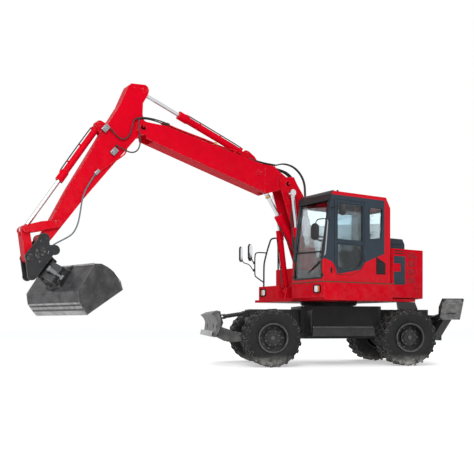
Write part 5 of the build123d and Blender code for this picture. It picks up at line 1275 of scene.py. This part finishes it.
# %% Studio
def studio_world():
    """A world that fills softly and shows white behind the machine."""
    world = bpy.data.worlds.new("studio")
    bpy.context.scene.world = world
    world.use_nodes = True
    tree = world.node_tree
    tree.nodes.clear()
    fill = node(tree, "ShaderNodeBackground", {"Color": (0.95, 0.97, 1.0, 1.0), "Strength": 0.6})
    shown = node(tree, "ShaderNodeBackground", {"Color": (1.0, 1.0, 1.0, 1.0), "Strength": 1.0})
    path = node(tree, "ShaderNodeLightPath")
    seen = path.outputs["Is Camera Ray"]
    for ray in ("Is Glossy Ray", "Is Transmission Ray"):
        either = node(tree, "ShaderNodeMath", operation="MAXIMUM")
        tree.links.new(seen, either.inputs[0])
        tree.links.new(path.outputs[ray], either.inputs[1])
        seen = either.outputs[0]
    chosen = node(tree, "ShaderNodeMixShader", {"Fac": seen})
    tree.links.new(fill.outputs["Background"], chosen.inputs[1])
    tree.links.new(shown.outputs["Background"], chosen.inputs[2])
    out = node(tree, "ShaderNodeOutputWorld")
    tree.links.new(chosen.outputs["Shader"], out.inputs["Surface"])


def soft_lamp(name, place, target, size, power):
    """A square soft lamp that looks at a point."""
    data = bpy.data.lights.new(name, "AREA")
    data.shape = "SQUARE"
    data.size = size
    data.energy = power
    lamp = bpy.data.objects.new(name, data)
    bpy.context.scene.collection.objects.link(lamp)
    lamp.location = place
    lamp.rotation_euler = (Vector(target) - Vector(place)).to_track_quat("-Z", "Y").to_euler()


def studio_floor():
    """A large pale floor."""
    mesh = bpy.data.meshes.new("floor")
    shape = bmesh.new()
    bmesh.ops.create_grid(shape, x_segments=1, y_segments=1, size=60.0)
    shape.to_mesh(mesh)
    shape.free()
    floor = bpy.data.objects.new("floor", mesh)
    floor.location.z = cad_box[0][2]
    bpy.context.scene.collection.objects.link(floor)
    material, tree, shader = blank_material("studio floor")
    shader.inputs["Base Color"].default_value = (0.93, 0.93, 0.93, 1.0)
    shader.inputs["Roughness"].default_value = 0.9
    path = node(tree, "ShaderNodeLightPath")
    lift = node(tree, "ShaderNodeEmission", {"Strength": times(tree, path.outputs["Is Camera Ray"], 0.42)})
    lifted = node(tree, "ShaderNodeAddShader")
    tree.links.new(shader.outputs["BSDF"], lifted.inputs[0])
    tree.links.new(lift.outputs["Emission"], lifted.inputs[1])
    mirrored = node(tree, "ShaderNodeMath", operation="MAXIMUM")
    tree.links.new(path.outputs["Is Glossy Ray"], mirrored.inputs[0])
    tree.links.new(path.outputs["Is Transmission Ray"], mirrored.inputs[1])
    white = node(tree, "ShaderNodeEmission", {"Strength": 1.0})
    chosen = node(tree, "ShaderNodeMixShader", {"Fac": mirrored.outputs[0]})
    tree.links.new(lifted.outputs["Shader"], chosen.inputs[1])
    tree.links.new(white.outputs["Emission"], chosen.inputs[2])
    tree.links.new(chosen.outputs["Shader"], tree.nodes["Material Output"].inputs["Surface"])
    mesh.materials.append(material)


def studio_dome():
    """A white shell far round the floor, seen by the camera and by glass but open to the world's light."""
    mesh = bpy.data.meshes.new("dome")
    shape = bmesh.new()
    bmesh.ops.create_uvsphere(shape, u_segments=48, v_segments=24, radius=55.0)
    shape.to_mesh(mesh)
    shape.free()
    dome = bpy.data.objects.new("dome", mesh)
    bpy.context.scene.collection.objects.link(dome)
    material, tree, shader = blank_material("studio dome")
    tree.nodes.remove(shader)
    path = node(tree, "ShaderNodeLightPath")
    seen = path.outputs["Is Camera Ray"]
    for ray in ("Is Glossy Ray", "Is Transmission Ray"):
        either = node(tree, "ShaderNodeMath", operation="MAXIMUM")
        tree.links.new(seen, either.inputs[0])
        tree.links.new(path.outputs[ray], either.inputs[1])
        seen = either.outputs[0]
    chosen = node(tree, "ShaderNodeMixShader", {"Fac": seen})
    tree.links.new(node(tree, "ShaderNodeBsdfTransparent").outputs["BSDF"], chosen.inputs[1])
    tree.links.new(node(tree, "ShaderNodeEmission", {"Strength": 1.0}).outputs["Emission"], chosen.inputs[2])
    tree.links.new(chosen.outputs["Shader"], tree.nodes["Material Output"].inputs["Surface"])
    mesh.materials.append(material)


studio_world()
studio_dome()
soft_lamp("key", (8.0, 11.0, 9.0), (0.0, 0.0, 1.5), 7.0, 1300.0)
soft_lamp("back", (-9.0, -8.0, 8.0), (0.0, 0.0, 1.5), 8.0, 500.0)
studio_floor()
